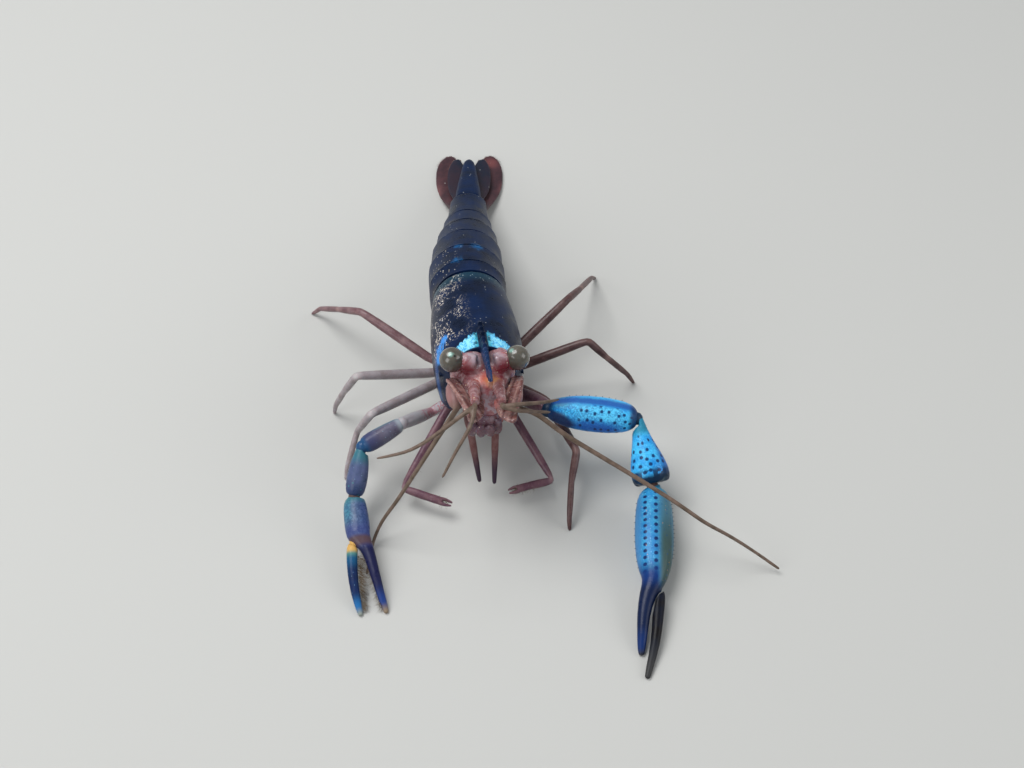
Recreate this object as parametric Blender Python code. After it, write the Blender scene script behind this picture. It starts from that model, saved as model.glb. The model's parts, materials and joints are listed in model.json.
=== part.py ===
"""Hancock's river prawn (Macrobrachium hancocki), a still model at life size.

The prawn stands on the floor, head towards -Y and tail towards +Y; its own left side is +X.
Sizes are in millimetres and become metres when a mesh is made.
Points on the body are given as (s, x, d): s runs along the back from the edge of the orbit
towards the tail, x is to the animal's left, and d is the depth below the back.
Points on the limbs are given in the model's own frame, with the floor at z = 0.
"""
import math

import bmesh
import bpy
from mathutils import Quaternion, Vector

MM = 0.001
GAP = 0.3                     # between neighbouring pieces
ORIGIN = Vector((5.6, 12.4, 0.0))   # middle of the model's box, moved to x = y = 0

# Body
CARAPACE_LENGTH = 18.5        # orbit to rear margin
ROSTRUM_LENGTH = 10.8
ORBIT_HEIGHT = 20.5
SEGMENT_LENGTHS = (3.0, 4.8, 5.3, 4.2, 3.7, 6.2)
TELSON_LENGTH = 12.0
TAIL_START = CARAPACE_LENGTH + sum(SEGMENT_LENGTHS)

# The back's slope down towards the tail, its swing to the left and its roll, in degrees at s
SLOPE = ((-12, 15.4), (17, 15.4), (24, 19), (32, 22.5), (40, 22.5), (45, 17), (49, 13), (60, 13))
SWING = ((-12, 4), (0, 0), (18, 0), (26, 4.5), (40, 6), (60, 6))
ROLL = ((-12, 3.5), (18, 3.5), (42, 0), (60, 0))

# Half width and depth of the shell along the body
HALF_WIDTH = ((0, 3.8), (1.5, 4.6), (4, 5.3), (8, 5.6), (12, 5.5), (16, 5.1), (18.5, 4.7),
              (21, 4.9), (25, 5.0), (30, 4.8), (35, 4.2), (39, 3.4), (42, 2.8), (46, 2.5))
DEPTH = ((0, 8.6), (1.5, 9.6), (4, 10.3), (8, 10.8), (12, 10.9), (16, 10.2), (18.5, 9.4),
         (21, 9.6), (25, 10.2), (30, 9.6), (35, 8.4), (39, 6.8), (41, 4.8), (46, 4.0))

EYE_RADIUS = 1.5
EYE_CENTRE = (-1.0, 3.8, 1.0)

STEP = 0.25


def blend(knots, at):
    """Straight-line value of (place, value) knots."""
    if at <= knots[0][0]:
        return knots[0][1]
    for (a, va), (b, vb) in zip(knots, knots[1:]):
        if at <= b:
            return va + (vb - va) * (at - a) / (b - a)
    return knots[-1][1]


def ease(knots, at):
    """Value of (place, value) knots, eased between them."""
    for (a, va), (b, vb) in zip(knots, knots[1:]):
        if a <= at <= b:
            u = (at - a) / (b - a)
            return va + (vb - va) * u * u * (3 - 2 * u)
    return knots[0][1] if at < knots[0][0] else knots[-1][1]


def back_direction(s):
    """Unit vector along the back, towards the tail."""
    slope = math.radians(blend(SLOPE, s))
    swing = math.radians(blend(SWING, s))
    level = math.cos(slope)
    return Vector((level * math.sin(swing), level * math.cos(swing), -math.sin(slope)))


def trace_back():
    """Points of the back line every STEP, from the orbit both ways."""
    points = {0: Vector((0, 0, ORBIT_HEIGHT))}
    for i in range(int(62 / STEP)):
        points[i + 1] = points[i] + back_direction((i + 0.5) * STEP) * STEP
    for i in range(0, -int(14 / STEP), -1):
        points[i - 1] = points[i] - back_direction((i - 0.5) * STEP) * STEP
    return points


BACK = trace_back()


def body_point(s, x, d):
    """Point of the body, in the model's frame."""
    i = math.floor(s / STEP)
    start = BACK[i].lerp(BACK[i + 1], s / STEP - i)
    along = back_direction(s)
    left = Vector((along.y, -along.x, 0)).normalized()
    up = left.cross(along)
    roll = Quaternion(along, math.radians(blend(ROLL, s)))
    return start + roll @ left * x - roll @ up * d


def body_points(points, side=1):
    """Body points (s, x, d) with x turned to one side."""
    return [body_point(s, side * x, d) for s, x, d in points]


# Making meshes

def new_object(name, bm, collection, colour=None, roughness=0.4):
    """Object from a bmesh in millimetres."""
    bmesh.ops.recalc_face_normals(bm, faces=bm.faces)
    bmesh.ops.translate(bm, verts=bm.verts, vec=-ORIGIN)
    bmesh.ops.scale(bm, verts=bm.verts, vec=(MM, MM, MM))
    mesh = bpy.data.meshes.new(name)
    bm.to_mesh(mesh)
    bm.free()
    mesh.shade_smooth()
    mesh.set_sharp_from_angle(angle=math.radians(40))
    obj = bpy.data.objects.new(name, mesh)
    collection.objects.link(obj)
    if colour:
        mat = bpy.data.materials.new(name)
        mat.use_nodes = True
        shader = mat.node_tree.nodes["Principled BSDF"]
        shader.inputs["Base Color"].default_value = (*colour, 1)
        shader.inputs["Roughness"].default_value = roughness
        shader.inputs["Metallic"].default_value = 0
        mesh.materials.append(mat)
    return obj


def loft(rings):
    """Closed bmesh through rings of equally many points, with flat ends."""
    bm = bmesh.new()
    loops = [[bm.verts.new(p) for p in ring] for ring in rings]
    count = len(loops[0])
    for near, far in zip(loops, loops[1:]):
        for i in range(count):
            j = (i + 1) % count
            bm.faces.new((near[i], near[j], far[j]))
            bm.faces.new((near[i], far[j], far[i]))
    for loop in (loops[0], loops[-1]):
        bm.faces.new(loop)
    return bm


def solid(name, rings, colour, roughness=0.4):
    """Piece of the prawn."""
    return new_object(name, loft(rings), prawn, colour, roughness)


def cutter(name, rings):
    """Hidden shape that keeps a gap free."""
    obj = new_object(name, loft(rings), cutters)
    obj.hide_render = True
    obj.display_type = "WIRE"
    return obj


def cut(obj, *shapes):
    """Cut shapes from a piece."""
    for shape in shapes:
        mod = obj.modifiers.new("Cut by " + shape.name, "BOOLEAN")
        mod.operation = "DIFFERENCE"
        mod.object = shape
    return obj


def fuse(obj, pieces):
    """Join lofted pieces to an object by one Boolean union, which is applied."""
    group = bpy.data.collections.new("Fused to " + obj.name)
    bpy.context.scene.collection.children.link(group)
    for i, rings in enumerate(pieces):
        new_object(f"{obj.name} piece {i}", loft(rings), group)
    mod = obj.modifiers.new("Fuse", "BOOLEAN")
    mod.operation = "UNION"
    mod.operand_type = "COLLECTION"
    mod.collection = group
    bake(obj)
    for piece in list(group.objects):
        bpy.data.objects.remove(piece)
    bpy.data.collections.remove(group)
    return obj


def bake(obj):
    """Apply an object's modifiers and keep its largest closed surface."""
    bpy.context.view_layer.update()
    evaluated = obj.evaluated_get(bpy.context.evaluated_depsgraph_get())
    mesh = bpy.data.meshes.new_from_object(evaluated)
    obj.modifiers.clear()
    obj.data = mesh
    bm = bmesh.new()
    bm.from_mesh(mesh)
    keep_largest(bm)
    bm.to_mesh(mesh)
    bm.free()


def keep_largest(bm):
    """Remove all but the connected surface with most faces."""
    left = set(bm.faces)
    shells = []
    while left:
        stack = [left.pop()]
        shell = set(stack)
        while stack:
            for edge in stack.pop().edges:
                for face in edge.link_faces:
                    if face in left:
                        left.remove(face)
                        shell.add(face)
                        stack.append(face)
        shells.append(shell)
    largest = max(shells, key=len)
    extra = [f for f in bm.faces if f not in largest]
    bmesh.ops.delete(bm, geom=extra, context="FACES")


# Rings

def shell_ring(s, half_width, depth, grow=0.0, channel=0.66):
    """Section of a shell: round back, straight sides, and a channel below."""
    arch = 0.46 * depth
    outer = []
    for i in range(-10, 11):
        t = abs(i) / 10
        side = -1 if i < 0 else 1
        if t <= 0.6:
            angle = t / 0.6 * math.pi / 2
            x = half_width * math.sin(angle)
            d = arch * (1 - math.cos(angle)) - grow * math.cos(angle)
            x += grow * math.sin(angle)
        else:
            u = (t - 0.6) / 0.4
            x = half_width * (1 - 0.12 * u * u) + grow
            d = arch + (depth - arch) * u
        outer.append((side * x, d))
    inner = [(0.64 * half_width, depth), (0.58 * half_width, channel * depth),
             (-0.58 * half_width, channel * depth), (-0.64 * half_width, depth)]
    return [body_point(s, x, d) for x, d in outer + inner]


def path_frames(points):
    """Side and up vectors at each point of a path, carried along it."""
    directions = [(b - a).normalized() for a, b in zip(points, points[1:])]
    tangents = [directions[0]]
    for a, b in zip(directions, directions[1:]):
        tangents.append((a + b).normalized())
    tangents.append(directions[-1])
    up = Vector((0, 0, 1))
    frames = []
    for tangent in tangents:
        side = tangent.cross(up)
        if side.length < 0.2:
            side = tangent.cross(frames[-1][1] if frames else Vector((0, 1, 0)))
        side.normalize()
        up = side.cross(tangent).normalized()
        frames.append((side, up, tangent))
    return frames


def tube_rings(stations, sides=8, grow=0.0, foot=False):
    """Rings of (point, half width, half height) stations along a path."""
    points = [Vector(p) for p, _, _ in stations]
    frames = path_frames(points)
    if grow:
        points[0] = points[0] - frames[0][2] * grow
        points[-1] = points[-1] + frames[-1][2] * grow
    rings = []
    for index, (point, (_, wide, high)) in enumerate(zip(points, stations)):
        side, up, _ = frames[index]
        if foot and index == len(points) - 1:
            side = Vector((side.x, side.y, 0)).normalized()
            level = Vector((0, 0, 1)).cross(side)
            up = level if level.dot(up) > 0 else -level
        ring = []
        for k in range(sides):
            angle = 2 * math.pi * (k + 0.5) / sides
            offset = side * (wide + grow) * math.cos(angle) + up * (high + grow) * math.sin(angle)
            ring.append(point + offset)
        rings.append(ring)
    return rings


def jointed(joints, radii, swell=1.12):
    """Stations of a leg: each joint narrow, each segment fuller just past and before it."""
    stations = []
    for i in range(len(joints) - 1):
        a, b = Vector(joints[i]), Vector(joints[i + 1])
        ra, rb = radii[i], radii[i + 1]
        reach = min(0.3, max(0.15, ra / (b - a).length))
        far = 1 - reach if i < len(joints) - 2 else 0.55
        stations.append((a, ra * 0.88, ra * 0.88))
        stations.append((a.lerp(b, reach), ra, ra))
        stations.append((a.lerp(b, far), rb * swell, rb * swell))
    stations.append((Vector(joints[-1]), radii[-1], radii[-1]))
    return stations


def shaped(start, end, profile):
    """Stations from start to end of (fraction, half width, half height) rows."""
    return [(Vector(start).lerp(Vector(end), u), wide, high) for u, wide, high in profile]


def blade_rings(stations, across=None, grow=0.0):
    """Rings of a thin blade: (point, half width, half thickness), wide across its path, or level."""
    points = [Vector(p) for p, _, _ in stations]
    frames = path_frames(points)
    rings = []
    for (point, (_, wide, thick)), (_, _, tangent) in zip(zip(points, stations), frames):
        level = Vector((tangent.y, -tangent.x, 0)).normalized()
        side = (across - tangent * across.dot(tangent)).normalized() if across else level
        up = side.cross(tangent).normalized()
        wide, thick = wide + grow, thick + grow
        edge = 0.6 * thick
        outline = ((1, -edge), (1, edge), (0.7, thick), (0, thick), (-0.7, thick),
                   (-1, edge), (-1, -edge), (-0.7, -thick), (0, -thick), (0.7, -thick))
        rings.append([point + side * wide * a + up * b for a, b in outline])
    return rings


# Colours of the pieces

NAVY = (0.012, 0.02, 0.05)
AZURE = (0.05, 0.32, 0.75)
TEAL = (0.05, 0.25, 0.35)
INDIGO = (0.02, 0.03, 0.14)
FACE = (0.36, 0.2, 0.18)
TAN = (0.28, 0.2, 0.14)
WINE = (0.2, 0.05, 0.06)
LILAC = (0.42, 0.38, 0.42)
OLIVE = (0.15, 0.15, 0.11)


# Shell of the body

def crest_rings(places, half_width, teeth, lower_teeth=()):
    """Rings of the toothed blade along the back's middle, from rear to front."""
    stations = set(places)
    for at in teeth:
        stations.update((at + TOOTH_BACK, at, at - 0.14))
    for at in lower_teeth:
        stations.update((at + TOOTH_BACK, at, at - 0.14))
    rings = []
    for s in sorted((s for s in stations if places[-1] <= s <= places[0]), reverse=True):
        middle, top, bottom = ease(CREST_MIDDLE, s), blend(CREST_TOP, s), blend(CREST_BOTTOM, s)
        top += max([tooth_height(s, at) for at in teeth], default=0)
        bottom += max([tooth_height(s, at) for at in lower_teeth], default=0)
        wide = blend(half_width, s)
        thin = min(0.2, wide)
        outline = ((-thin, middle - top), (thin, middle - top), (wide, middle),
                   (thin, middle + bottom), (-thin, middle + bottom), (-wide, middle))
        rings.append([body_point(s, x, d) for x, d in outline])
    return rings


# Place, depth and length of the spine at the front edge and of the one behind it
SHELL_SPINES = ((0.55, 3.2, 1.2), (2.6, 5.2, 0.9))

TOOTH_BACK = 0.95
TOOTH_HEIGHT = 0.6
CREST_MIDDLE = ((-10.8, -2.3), (-5.0, -0.35), (0.0, 0.35), (6.5, 0.9))
CREST_TOP = ((-10.8, 0.12), (-9.5, 0.35), (-5, 0.75), (0, 0.85), (4, 0.95), (6.5, 0.7))
CREST_BOTTOM = ((-10.8, 0.12), (-9.5, 0.35), (-5, 0.85), (-0.6, 0.95), (6.5, 1.2))
CREST_WIDTH = ((-10.8, 0.14), (-6, 0.42), (-0.3, 0.62), (2, 0.5), (6.5, 0.45))
DORSAL_TEETH = (-9.3, -8.0, -6.8, -5.6, -4.4, -3.2, -2.0, -0.9)
CARAPACE_TEETH = (0.5, 1.8, 3.2, 4.7)
VENTRAL_TEETH = (-8.6, -6.9, -5.2)


def tooth_height(s, at):
    """Height of a tooth with its point at s = at, sloping up from behind."""
    if at <= s <= at + TOOTH_BACK:
        return TOOTH_HEIGHT * (1 - (s - at) / TOOTH_BACK)
    return 0.0


def make_rostrum():
    places = (-GAP, -2.5, -5.0, -7.5, -9.8, -ROSTRUM_LENGTH)
    rings = crest_rings(places, CREST_WIDTH, DORSAL_TEETH, VENTRAL_TEETH)
    solid("rostrum", rings, NAVY)


def shell_spine(side, s, depth, length):
    """Rings of a spine that points forward from the shell's flank."""
    x = blend(HALF_WIDTH, s)
    root, middle, tip = body_points(((s + 0.7, x - 0.3, depth), (s, x + 0.02, depth),
                                     (s - length, x + 0.1, depth - 0.1)), side)
    return tube_rings([(root, 0.3, 0.32), (middle, 0.24, 0.26), (tip, 0.05, 0.05)], 6)


def make_carapace(eye_gaps):
    places = (0, 0.7, 1.5, 2.6, 4, 6, 8, 10, 12, 14, 16, 17.4, CARAPACE_LENGTH - GAP)
    rings = [shell_ring(s, blend(HALF_WIDTH, s), blend(DEPTH, s)) for s in places]
    obj = solid("carapace", rings, NAVY, 0.3)
    spines = [shell_spine(side, *place) for side in (-1, 1) for place in SHELL_SPINES]
    fuse(obj, [crest_rings((6.5, 0.15), CREST_WIDTH, CARAPACE_TEETH)] + spines)
    cut(obj, *eye_gaps)


def thorax_rings(grow=0.0):
    """The underside between the legs, in the carapace's channel."""
    rings = []
    stations = ((0.2, 2.0, 10.2), (1.5, 2.3, 10.8), (6, 2.7, 11.6), (12, 2.8, 12.0), (16, 2.6, 11.4),
                (CARAPACE_LENGTH - GAP, 2.3, 10.4))
    for i, (s, wide, bottom) in enumerate(stations):
        end = -grow if i == 0 else grow if i == len(stations) - 1 else 0
        top = 0.66 * blend(DEPTH, s) + GAP - grow
        wide, bottom = wide + grow, bottom + grow
        outline = ((-wide, top), (wide, top), (wide, bottom - 1.6), (0.85 * wide, bottom - 0.5),
                   (0.4 * wide, bottom), (-0.4 * wide, bottom), (-0.85 * wide, bottom - 0.5),
                   (-wide, bottom - 1.6))
        rings.append([body_point(s + end, x, d) for x, d in outline])
    return rings


def head_rings(grow=0.0):
    """The face between the eyes, ahead of the carapace."""
    rings = []
    stations = ((-GAP, 3.2, 1.9, 8.6), (-1.2, 3.1, 2.0, 8.6), (-2.4, 2.8, 2.3, 8.3),
                (-3.6, 2.1, 3.1, 7.6), (-4.3, 1.3, 4.0, 6.8))
    for i, (s, wide, top, bottom) in enumerate(stations):
        end = grow if i == 0 else -grow if i == len(stations) - 1 else 0
        rings.append(oval_on_body(s + end, 0, (top + bottom) / 2, wide + grow,
                                  (bottom - top) / 2 + grow, 14))
    return rings


def crest_gap_ring(s):
    """Room for the blade in the top of the face."""
    middle = ease(CREST_MIDDLE, s)
    wide, bottom = blend(CREST_WIDTH, s) + GAP, middle + blend(CREST_BOTTOM, s) + GAP
    return [body_point(s, x, d) for x, d in ((-wide, middle - 2), (wide, middle - 2), (wide, middle),
                                             (0.35, bottom), (-0.35, bottom), (-wide, middle))]


def oval_on_body(s, x, d, wide, high, sides):
    """Rounded section of the body, a little squarer than an ellipse."""
    ring = []
    for k in range(sides):
        angle = 2 * math.pi * (k + 0.5) / sides
        c, v = math.cos(angle), math.sin(angle)
        c, v = math.copysign(abs(c) ** 0.75, c), math.copysign(abs(v) ** 0.75, v)
        ring.append(body_point(s, x + wide * c, d - high * v))
    return ring


def make_mouthparts():
    rings = []
    for s, wide, top, bottom in ((-0.4, 1.5, 9.4, 10.2), (-1.2, 1.9, 9.0, 10.6), (-2.4, 1.9, 8.9, 10.4),
                                 (-3.6, 1.5, 8.6, 10.0), (-4.4, 0.8, 8.5, 9.4)):
        rings.append(oval_on_body(s, 0, (top + bottom) / 2, wide, (bottom - top) / 2, 12))
    return solid("mouthparts", rings, WINE)


def make_abdomen():
    """Six shell rings with rounded lower lobes, each a little wider at its rear edge."""
    start = CARAPACE_LENGTH
    for number, length in enumerate(SEGMENT_LENGTHS, 1):
        rings = []
        for u in (0, 0.12, 0.35, 0.6, 0.85, 1):
            s = start + GAP / 2 + (length - GAP) * u
            flare = 0.975 + 0.05 * u
            lobe = 0.93 + 0.09 * math.sin(math.pi * min(1, 0.1 + 0.9 * u))
            if number == 6:
                lobe = 1.0
            rings.append(shell_ring(s, blend(HALF_WIDTH, s) * flare, blend(DEPTH, s) * lobe))
        solid(f"abdomen_{number}", rings, NAVY, 0.3)
        start += length


def tail_point(side, back, z):
    """Point of the tail fan: sideways and back from the sixth segment's end, at a height."""
    base = body_point(TAIL_START, 0, 0)
    swing = math.radians(SWING[-1][1])
    along = Vector((math.sin(swing), math.cos(swing), 0))
    left = Vector((along.y, -along.x, 0))
    point = base + along * back + left * side
    return Vector((point.x, point.y, z))


def make_telson():
    rings = []
    for u, wide, high in ((0, 1.9, 1.1), (0.12, 2.0, 1.15), (0.5, 1.5, 0.8), (0.85, 1.0, 0.5),
                          (0.95, 0.8, 0.4), (1.0, 0.3, 0.25)):
        s = TAIL_START + GAP / 2 + u * TELSON_LENGTH
        rings.append(oval_on_body(s, 0, 1.3 - 0.3 * u, wide, high, 10))
    solid("telson", rings, NAVY)


def make_uropods(side, label):
    """Two blades of the tail fan; the outer one lies flat on the floor."""
    outer = ((2.1, 0.3, 2.4, 0.5, 0.4), (2.3, 2.5, 1.5, 0.9, 0.33), (2.6, 5.0, 0.7, 1.6, 0.3),
             (2.9, 8.0, 0.34, 2.1, 0.3), (3.1, 11.5, 0.3, 2.0, 0.3), (3.1, 14.0, 0.3, 1.4, 0.3),
             (3.0, 15.2, 0.3, 0.5, 0.3))
    stations = [(tail_point(side * x, y, z), wide, thick) for x, y, z, wide, thick in outer]
    solid(f"uropod_outer_{label}", blade_rings(stations), WINE)
    inner = ((0.9, 0.3, 3.0, 0.45, 0.4), (1.2, 2.5, 2.6, 0.9, 0.3), (1.6, 5.0, 1.8, 1.35, 0.27),
             (1.8, 8.0, 1.4, 1.5, 0.27), (1.9, 11.0, 1.3, 1.3, 0.27), (1.9, 13.4, 1.25, 0.5, 0.27))
    stations = [(tail_point(side * x, y, z), wide, thick) for x, y, z, wide, thick in inner]
    solid(f"uropod_inner_{label}", blade_rings(stations), WINE)


def make_pleopods(side, label):
    """Swimming legs: a short stem and a leaf, one under each of five segments."""
    start = CARAPACE_LENGTH
    for number, length in enumerate(SEGMENT_LENGTHS[:5], 1):
        s = start + 0.42 * length
        size = (0.85, 1.0, 1.0, 0.9, 0.7)[number - 1]
        root = 0.66 * blend(DEPTH, s) + GAP
        x = 1.45 * size
        path = ((0, 0, 0.45, 0.4), (0.5, 1.3, 0.5, 0.4), (1.4, 1.9, 0.95, 0.3),
                (3.0, 2.6, 1.15, 0.27), (4.4, 3.1, 0.8, 0.25), (5.1, 3.3, 0.3, 0.2))
        stations = []
        for back, down, wide, thick in path:
            point = body_point(s + back * size, side * x, root + 0.1 + down * size)
            stations.append((point, wide * size, thick))
        solid(f"pleopod_{number}_{label}", blade_rings(stations, Vector((side, 0, 0))), LILAC)
        start += length


# Head appendages

def make_eye(side, label):
    """Globe on a stalk, flat where they meet."""
    s, x, d = EYE_CENTRE
    centre = body_point(s, side * x, d)
    root = body_point(-1.45, side * 1.1, 1.25)
    out = (centre - root).normalized()
    bm = bmesh.new()
    bmesh.ops.create_uvsphere(bm, u_segments=18, v_segments=12, radius=EYE_RADIUS)
    bmesh.ops.transform(bm, matrix=out.to_track_quat("Z", "Y").to_matrix().to_4x4(), verts=bm.verts)
    bmesh.ops.translate(bm, verts=bm.verts, vec=centre)
    flat = centre - out * 0.72 * EYE_RADIUS
    sliced = bmesh.ops.bisect_plane(bm, geom=bm.verts[:] + bm.edges[:] + bm.faces[:], plane_co=flat,
                                    plane_no=out, clear_inner=True)
    rim = [e for e in sliced["geom_cut"] if isinstance(e, bmesh.types.BMEdge)]
    bmesh.ops.edgenet_fill(bm, edges=rim)
    new_object(f"eye_{label}", bm, prawn, OLIVE, 0.15)
    end = flat - out * GAP
    stations = [(root, 0.95, 1.0), (root.lerp(end, 0.4), 1.0, 1.0), (root.lerp(end, 0.8), 1.0, 1.0),
                (end, 0.98, 0.98)]
    return solid(f"eyestalk_{label}", tube_rings(stations, 12), FACE)


def eye_gap(side, label):
    """Room for the eye in the carapace's front edge."""
    s, x, d = EYE_CENTRE
    bm = bmesh.new()
    bmesh.ops.create_uvsphere(bm, u_segments=16, v_segments=10, radius=EYE_RADIUS + GAP)
    bmesh.ops.translate(bm, verts=bm.verts, vec=body_point(s, side * x, d))
    obj = new_object(f"eye_gap_{label}", bm, cutters)
    obj.hide_render = True
    obj.display_type = "WIRE"
    return obj


def antennule_rings(side, grow=0.0):
    """Three stout segments under the rostrum."""
    joints = body_points(((-0.6, 1.35, 3.6), (-4.4, 1.45, 3.0), (-6.2, 1.5, 2.8), (-7.6, 1.5, 2.7)), side)
    return tube_rings(jointed(joints, (0.9, 0.72, 0.6, 0.5)), 10, grow)


def make_antennule(side, label, rami):
    """Peduncle and its two long whiskers, the outer one with a short branch."""
    peduncle = solid(f"antennule_{label}", antennule_rings(side), FACE)
    root = body_point(-7.6 - GAP, side * 1.5, 2.7)
    lead = body_point(-8.4, side * 1.6, 2.7)
    first = whisker_stations([root, lead] + [Vector(p) for p in rami[0]], 0.34, 0.16)
    obj = solid(f"antennule_whiskers_{label}", tube_rings(first, 6), TAN)
    second = whisker_stations([root, lead] + [Vector(p) for p in rami[1]], 0.32, 0.16)
    fuse(obj, [tube_rings(second, 6)])
    return peduncle


def smooth_path(points, spacing):
    """Points about a spacing apart on a smooth curve through a route's own points."""
    ends = [points[0] * 2 - points[1]] + list(points) + [points[-1] * 2 - points[-2]]
    path = []
    for p0, p1, p2, p3 in zip(ends, ends[1:], ends[2:], ends[3:]):
        steps = max(1, round((p2 - p1).length / spacing))
        for k in range(steps):
            t = k / steps
            path.append(0.5 * (2 * p1 + (p2 - p0) * t + (2 * p0 - 5 * p1 + 4 * p2 - p3) * t * t
                               + (3 * p1 - p0 - 3 * p2 + p3) * t ** 3))
    path.append(Vector(points[-1]))
    return path


def whisker_stations(points, root_radius, tip_radius, spacing=1.6):
    """Stations of a tapering whisker."""
    path = smooth_path(points, spacing)
    stations = []
    for i, point in enumerate(path):
        radius = root_radius + (tip_radius - root_radius) * i / (len(path) - 1)
        stations.append((point, radius, radius))
    return stations


ANTENNA_ROUTES = {
    "left": ((5.0, -6.3, 15.6), (7.9, -8.2, 13.8), (12.4, -10.6, 11.5), (16.7, -13.4, 9.9),
             (20.9, -16.6, 8.6), (23.6, -18.2, 7.0), (26.8, -18.9, 4.6), (30.0, -20.0, 2.2), (32.6, -21.6, 0.7)),
    "right": ((-5.4, -5.8, 13.5), (-7.8, -7.6, 10.8), (-9.9, -9.0, 8.2),
              (-11.8, -10.1, 5.7), (-13.6, -10.7, 3.2), (-14.6, -11.3, 1.4), (-15.2, -12.6, 0.55),
              (-16.0, -16.4, 0.45)),
}


def antenna_stations(side, label):
    base = body_points(((-0.5, 3.0, 5.0), (-1.3, 3.5, 5.3), (-2.6, 3.5, 5.7), (-3.4, 3.4, 5.9)), side)
    stations = list(zip(base, (1.15, 1.3, 1.1, 0.75), (1.15, 1.3, 1.1, 0.75)))
    lead = body_point(-3.9, side * 3.35, 6.0)
    route = [Vector(p) for p in ANTENNA_ROUTES[label]]
    return stations + whisker_stations([lead] + route, 0.36, 0.2)


def make_antenna(side, label):
    return solid(f"antenna_{label}", tube_rings(antenna_stations(side, label), 8), TAN)


def make_scale(side, label, tip_x):
    """Broad blade of the antenna: straight outer edge, rounded inner edge."""
    rows = ((-1.1, 0.7), (-2.2, 1.35), (-4.0, 1.75), (-6.0, 1.65), (-7.8, 1.25), (-8.8, 0.7), (-9.2, 0.3))
    first, last = rows[0][0], rows[-1][0]
    stations = []
    for s, wide in rows:
        u = (s - first) / (last - first)
        outer = 4.9 + (tip_x - 4.9) * u
        stations.append((body_point(s, side * (outer - wide), 3.6 + 0.5 * u), wide, 0.28))
    across = body_point(-4, side * 1, 0) - body_point(-4, 0, 0.35)
    return solid(f"antenna_scale_{label}", blade_rings(stations, across), FACE)


def make_maxilliped(side, label, knee, tip):
    """Third maxilliped: from the mouth's rear forward, then down."""
    root, out = body_points(((5.6, 1.2, 10.3), (3.0, 1.5, 11.8)), side)
    knee, tip = Vector(knee), Vector(tip)
    joints = [root, out, knee, knee.lerp(tip, 0.55), tip]
    return solid(f"maxilliped_{label}", tube_rings(jointed(joints, (0.6, 0.6, 0.5, 0.42, 0.28)), 8), WINE)


# Legs

def hip(s, side, out, depth, root_depth=10.9):
    """First two points of a leg: inside the thorax, and out under the carapace's edge."""
    return body_points(((s + 0.3, 1.6, root_depth), (s, out, depth)), side)


LEG_RADII = (0.75, 0.6, 0.46, 0.38, 0.27)


def make_walking_leg(name, s, depth, joints, cuts):
    """Walking leg that ends in a small flat on the floor."""
    side = 1 if name.endswith("left") else -1
    joints = hip(s, side, 4.8, depth) + [Vector(p) for p in joints]
    radii = (0.8,) * (len(joints) - 5) + LEG_RADII
    rings = tube_rings(jointed(joints, radii), 8, foot=True)
    cut(solid(name, rings, WINE), *cuts)


# Place along the body, hip depth, then knee, wrist, ankle and foot
WALKING_LEGS = {
    "leg_3_left": (11.4, 12.9, ((8.3, 4.4, 4.3), (10.7, -4.7, 5.4), (9.6, -8.0, 3.6), (8.9, -11.6, 1.3),
                                (8.8, -12.6, 0))),
    "leg_4_left": (13.8, 12.3, ((14.2, 10.0, 9.0), (16.6, 9.2, 6.4), (19.7, 9.8, 2.0), (20.7, 9.9, 0))),
    "leg_5_left": (16.2, 12.0, ((12.9, 18.6, 8.0), (15.2, 22.3, 6.0), (17.8, 28.3, 1.8), (18.7, 30.0, 0))),
    "leg_3_right": (11.8, 12.6, ((-13.9, 1.1, 9.0), (-15.9, 2.2, 4.6), (-17.5, -0.6, 1.4), (-17.9, -1.6, 0))),
    "leg_4_right": (13.8, 12.3, ((-15.4, 7.5, 9.0), (-17.3, 8.3, 5.2), (-18.6, 9.1, 1.8), (-18.9, 9.4, 0))),
    "leg_5_right": (16.2, 12.0, ((-14.3, 19.5, 8.0), (-17.2, 23.0, 5.2), (-20.0, 26.8, 1.8),
                                 (-21.3, 27.7, 0))),
}


def make_first_leg(side, label, elbow, wrist, tip, cuts):
    """Slim first leg with a small pair of pincers, held bent inwards."""
    joints = hip(6.0, side, 3.7, 12.4) + [Vector(elbow), Vector(wrist)]
    obj = solid(f"leg_1_{label}", tube_rings(jointed(joints, (0.65, 0.6, 0.5, 0.5)), 8), WINE)
    wrist, tip = Vector(wrist), Vector(tip)
    along = (tip - wrist).normalized()
    aside = along.cross(Vector((0, 0, 1))).normalized()
    palm = [(wrist - along * 0.5, 0.4, 0.4), (wrist + along * 0.4, 0.55, 0.5),
            (wrist.lerp(tip, 0.45), 0.5, 0.45), (wrist.lerp(tip, 0.55), 0.3, 0.3)]
    fingers = []
    for way in (-1, 1):
        fingers.append([(wrist.lerp(tip, 0.35) + aside * way * 0.2, 0.26, 0.3),
                        (wrist.lerp(tip, 0.7) + aside * way * 0.42, 0.2, 0.26),
                        (tip + aside * way * 0.22, 0.12, 0.15)])
    fuse(obj, [tube_rings(palm, 8)] + [tube_rings(f, 6) for f in fingers])
    cut(obj, *cuts)


# Chelipeds: each a chain of base, arm, wrist, hand with its fixed finger, and moving finger

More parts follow.
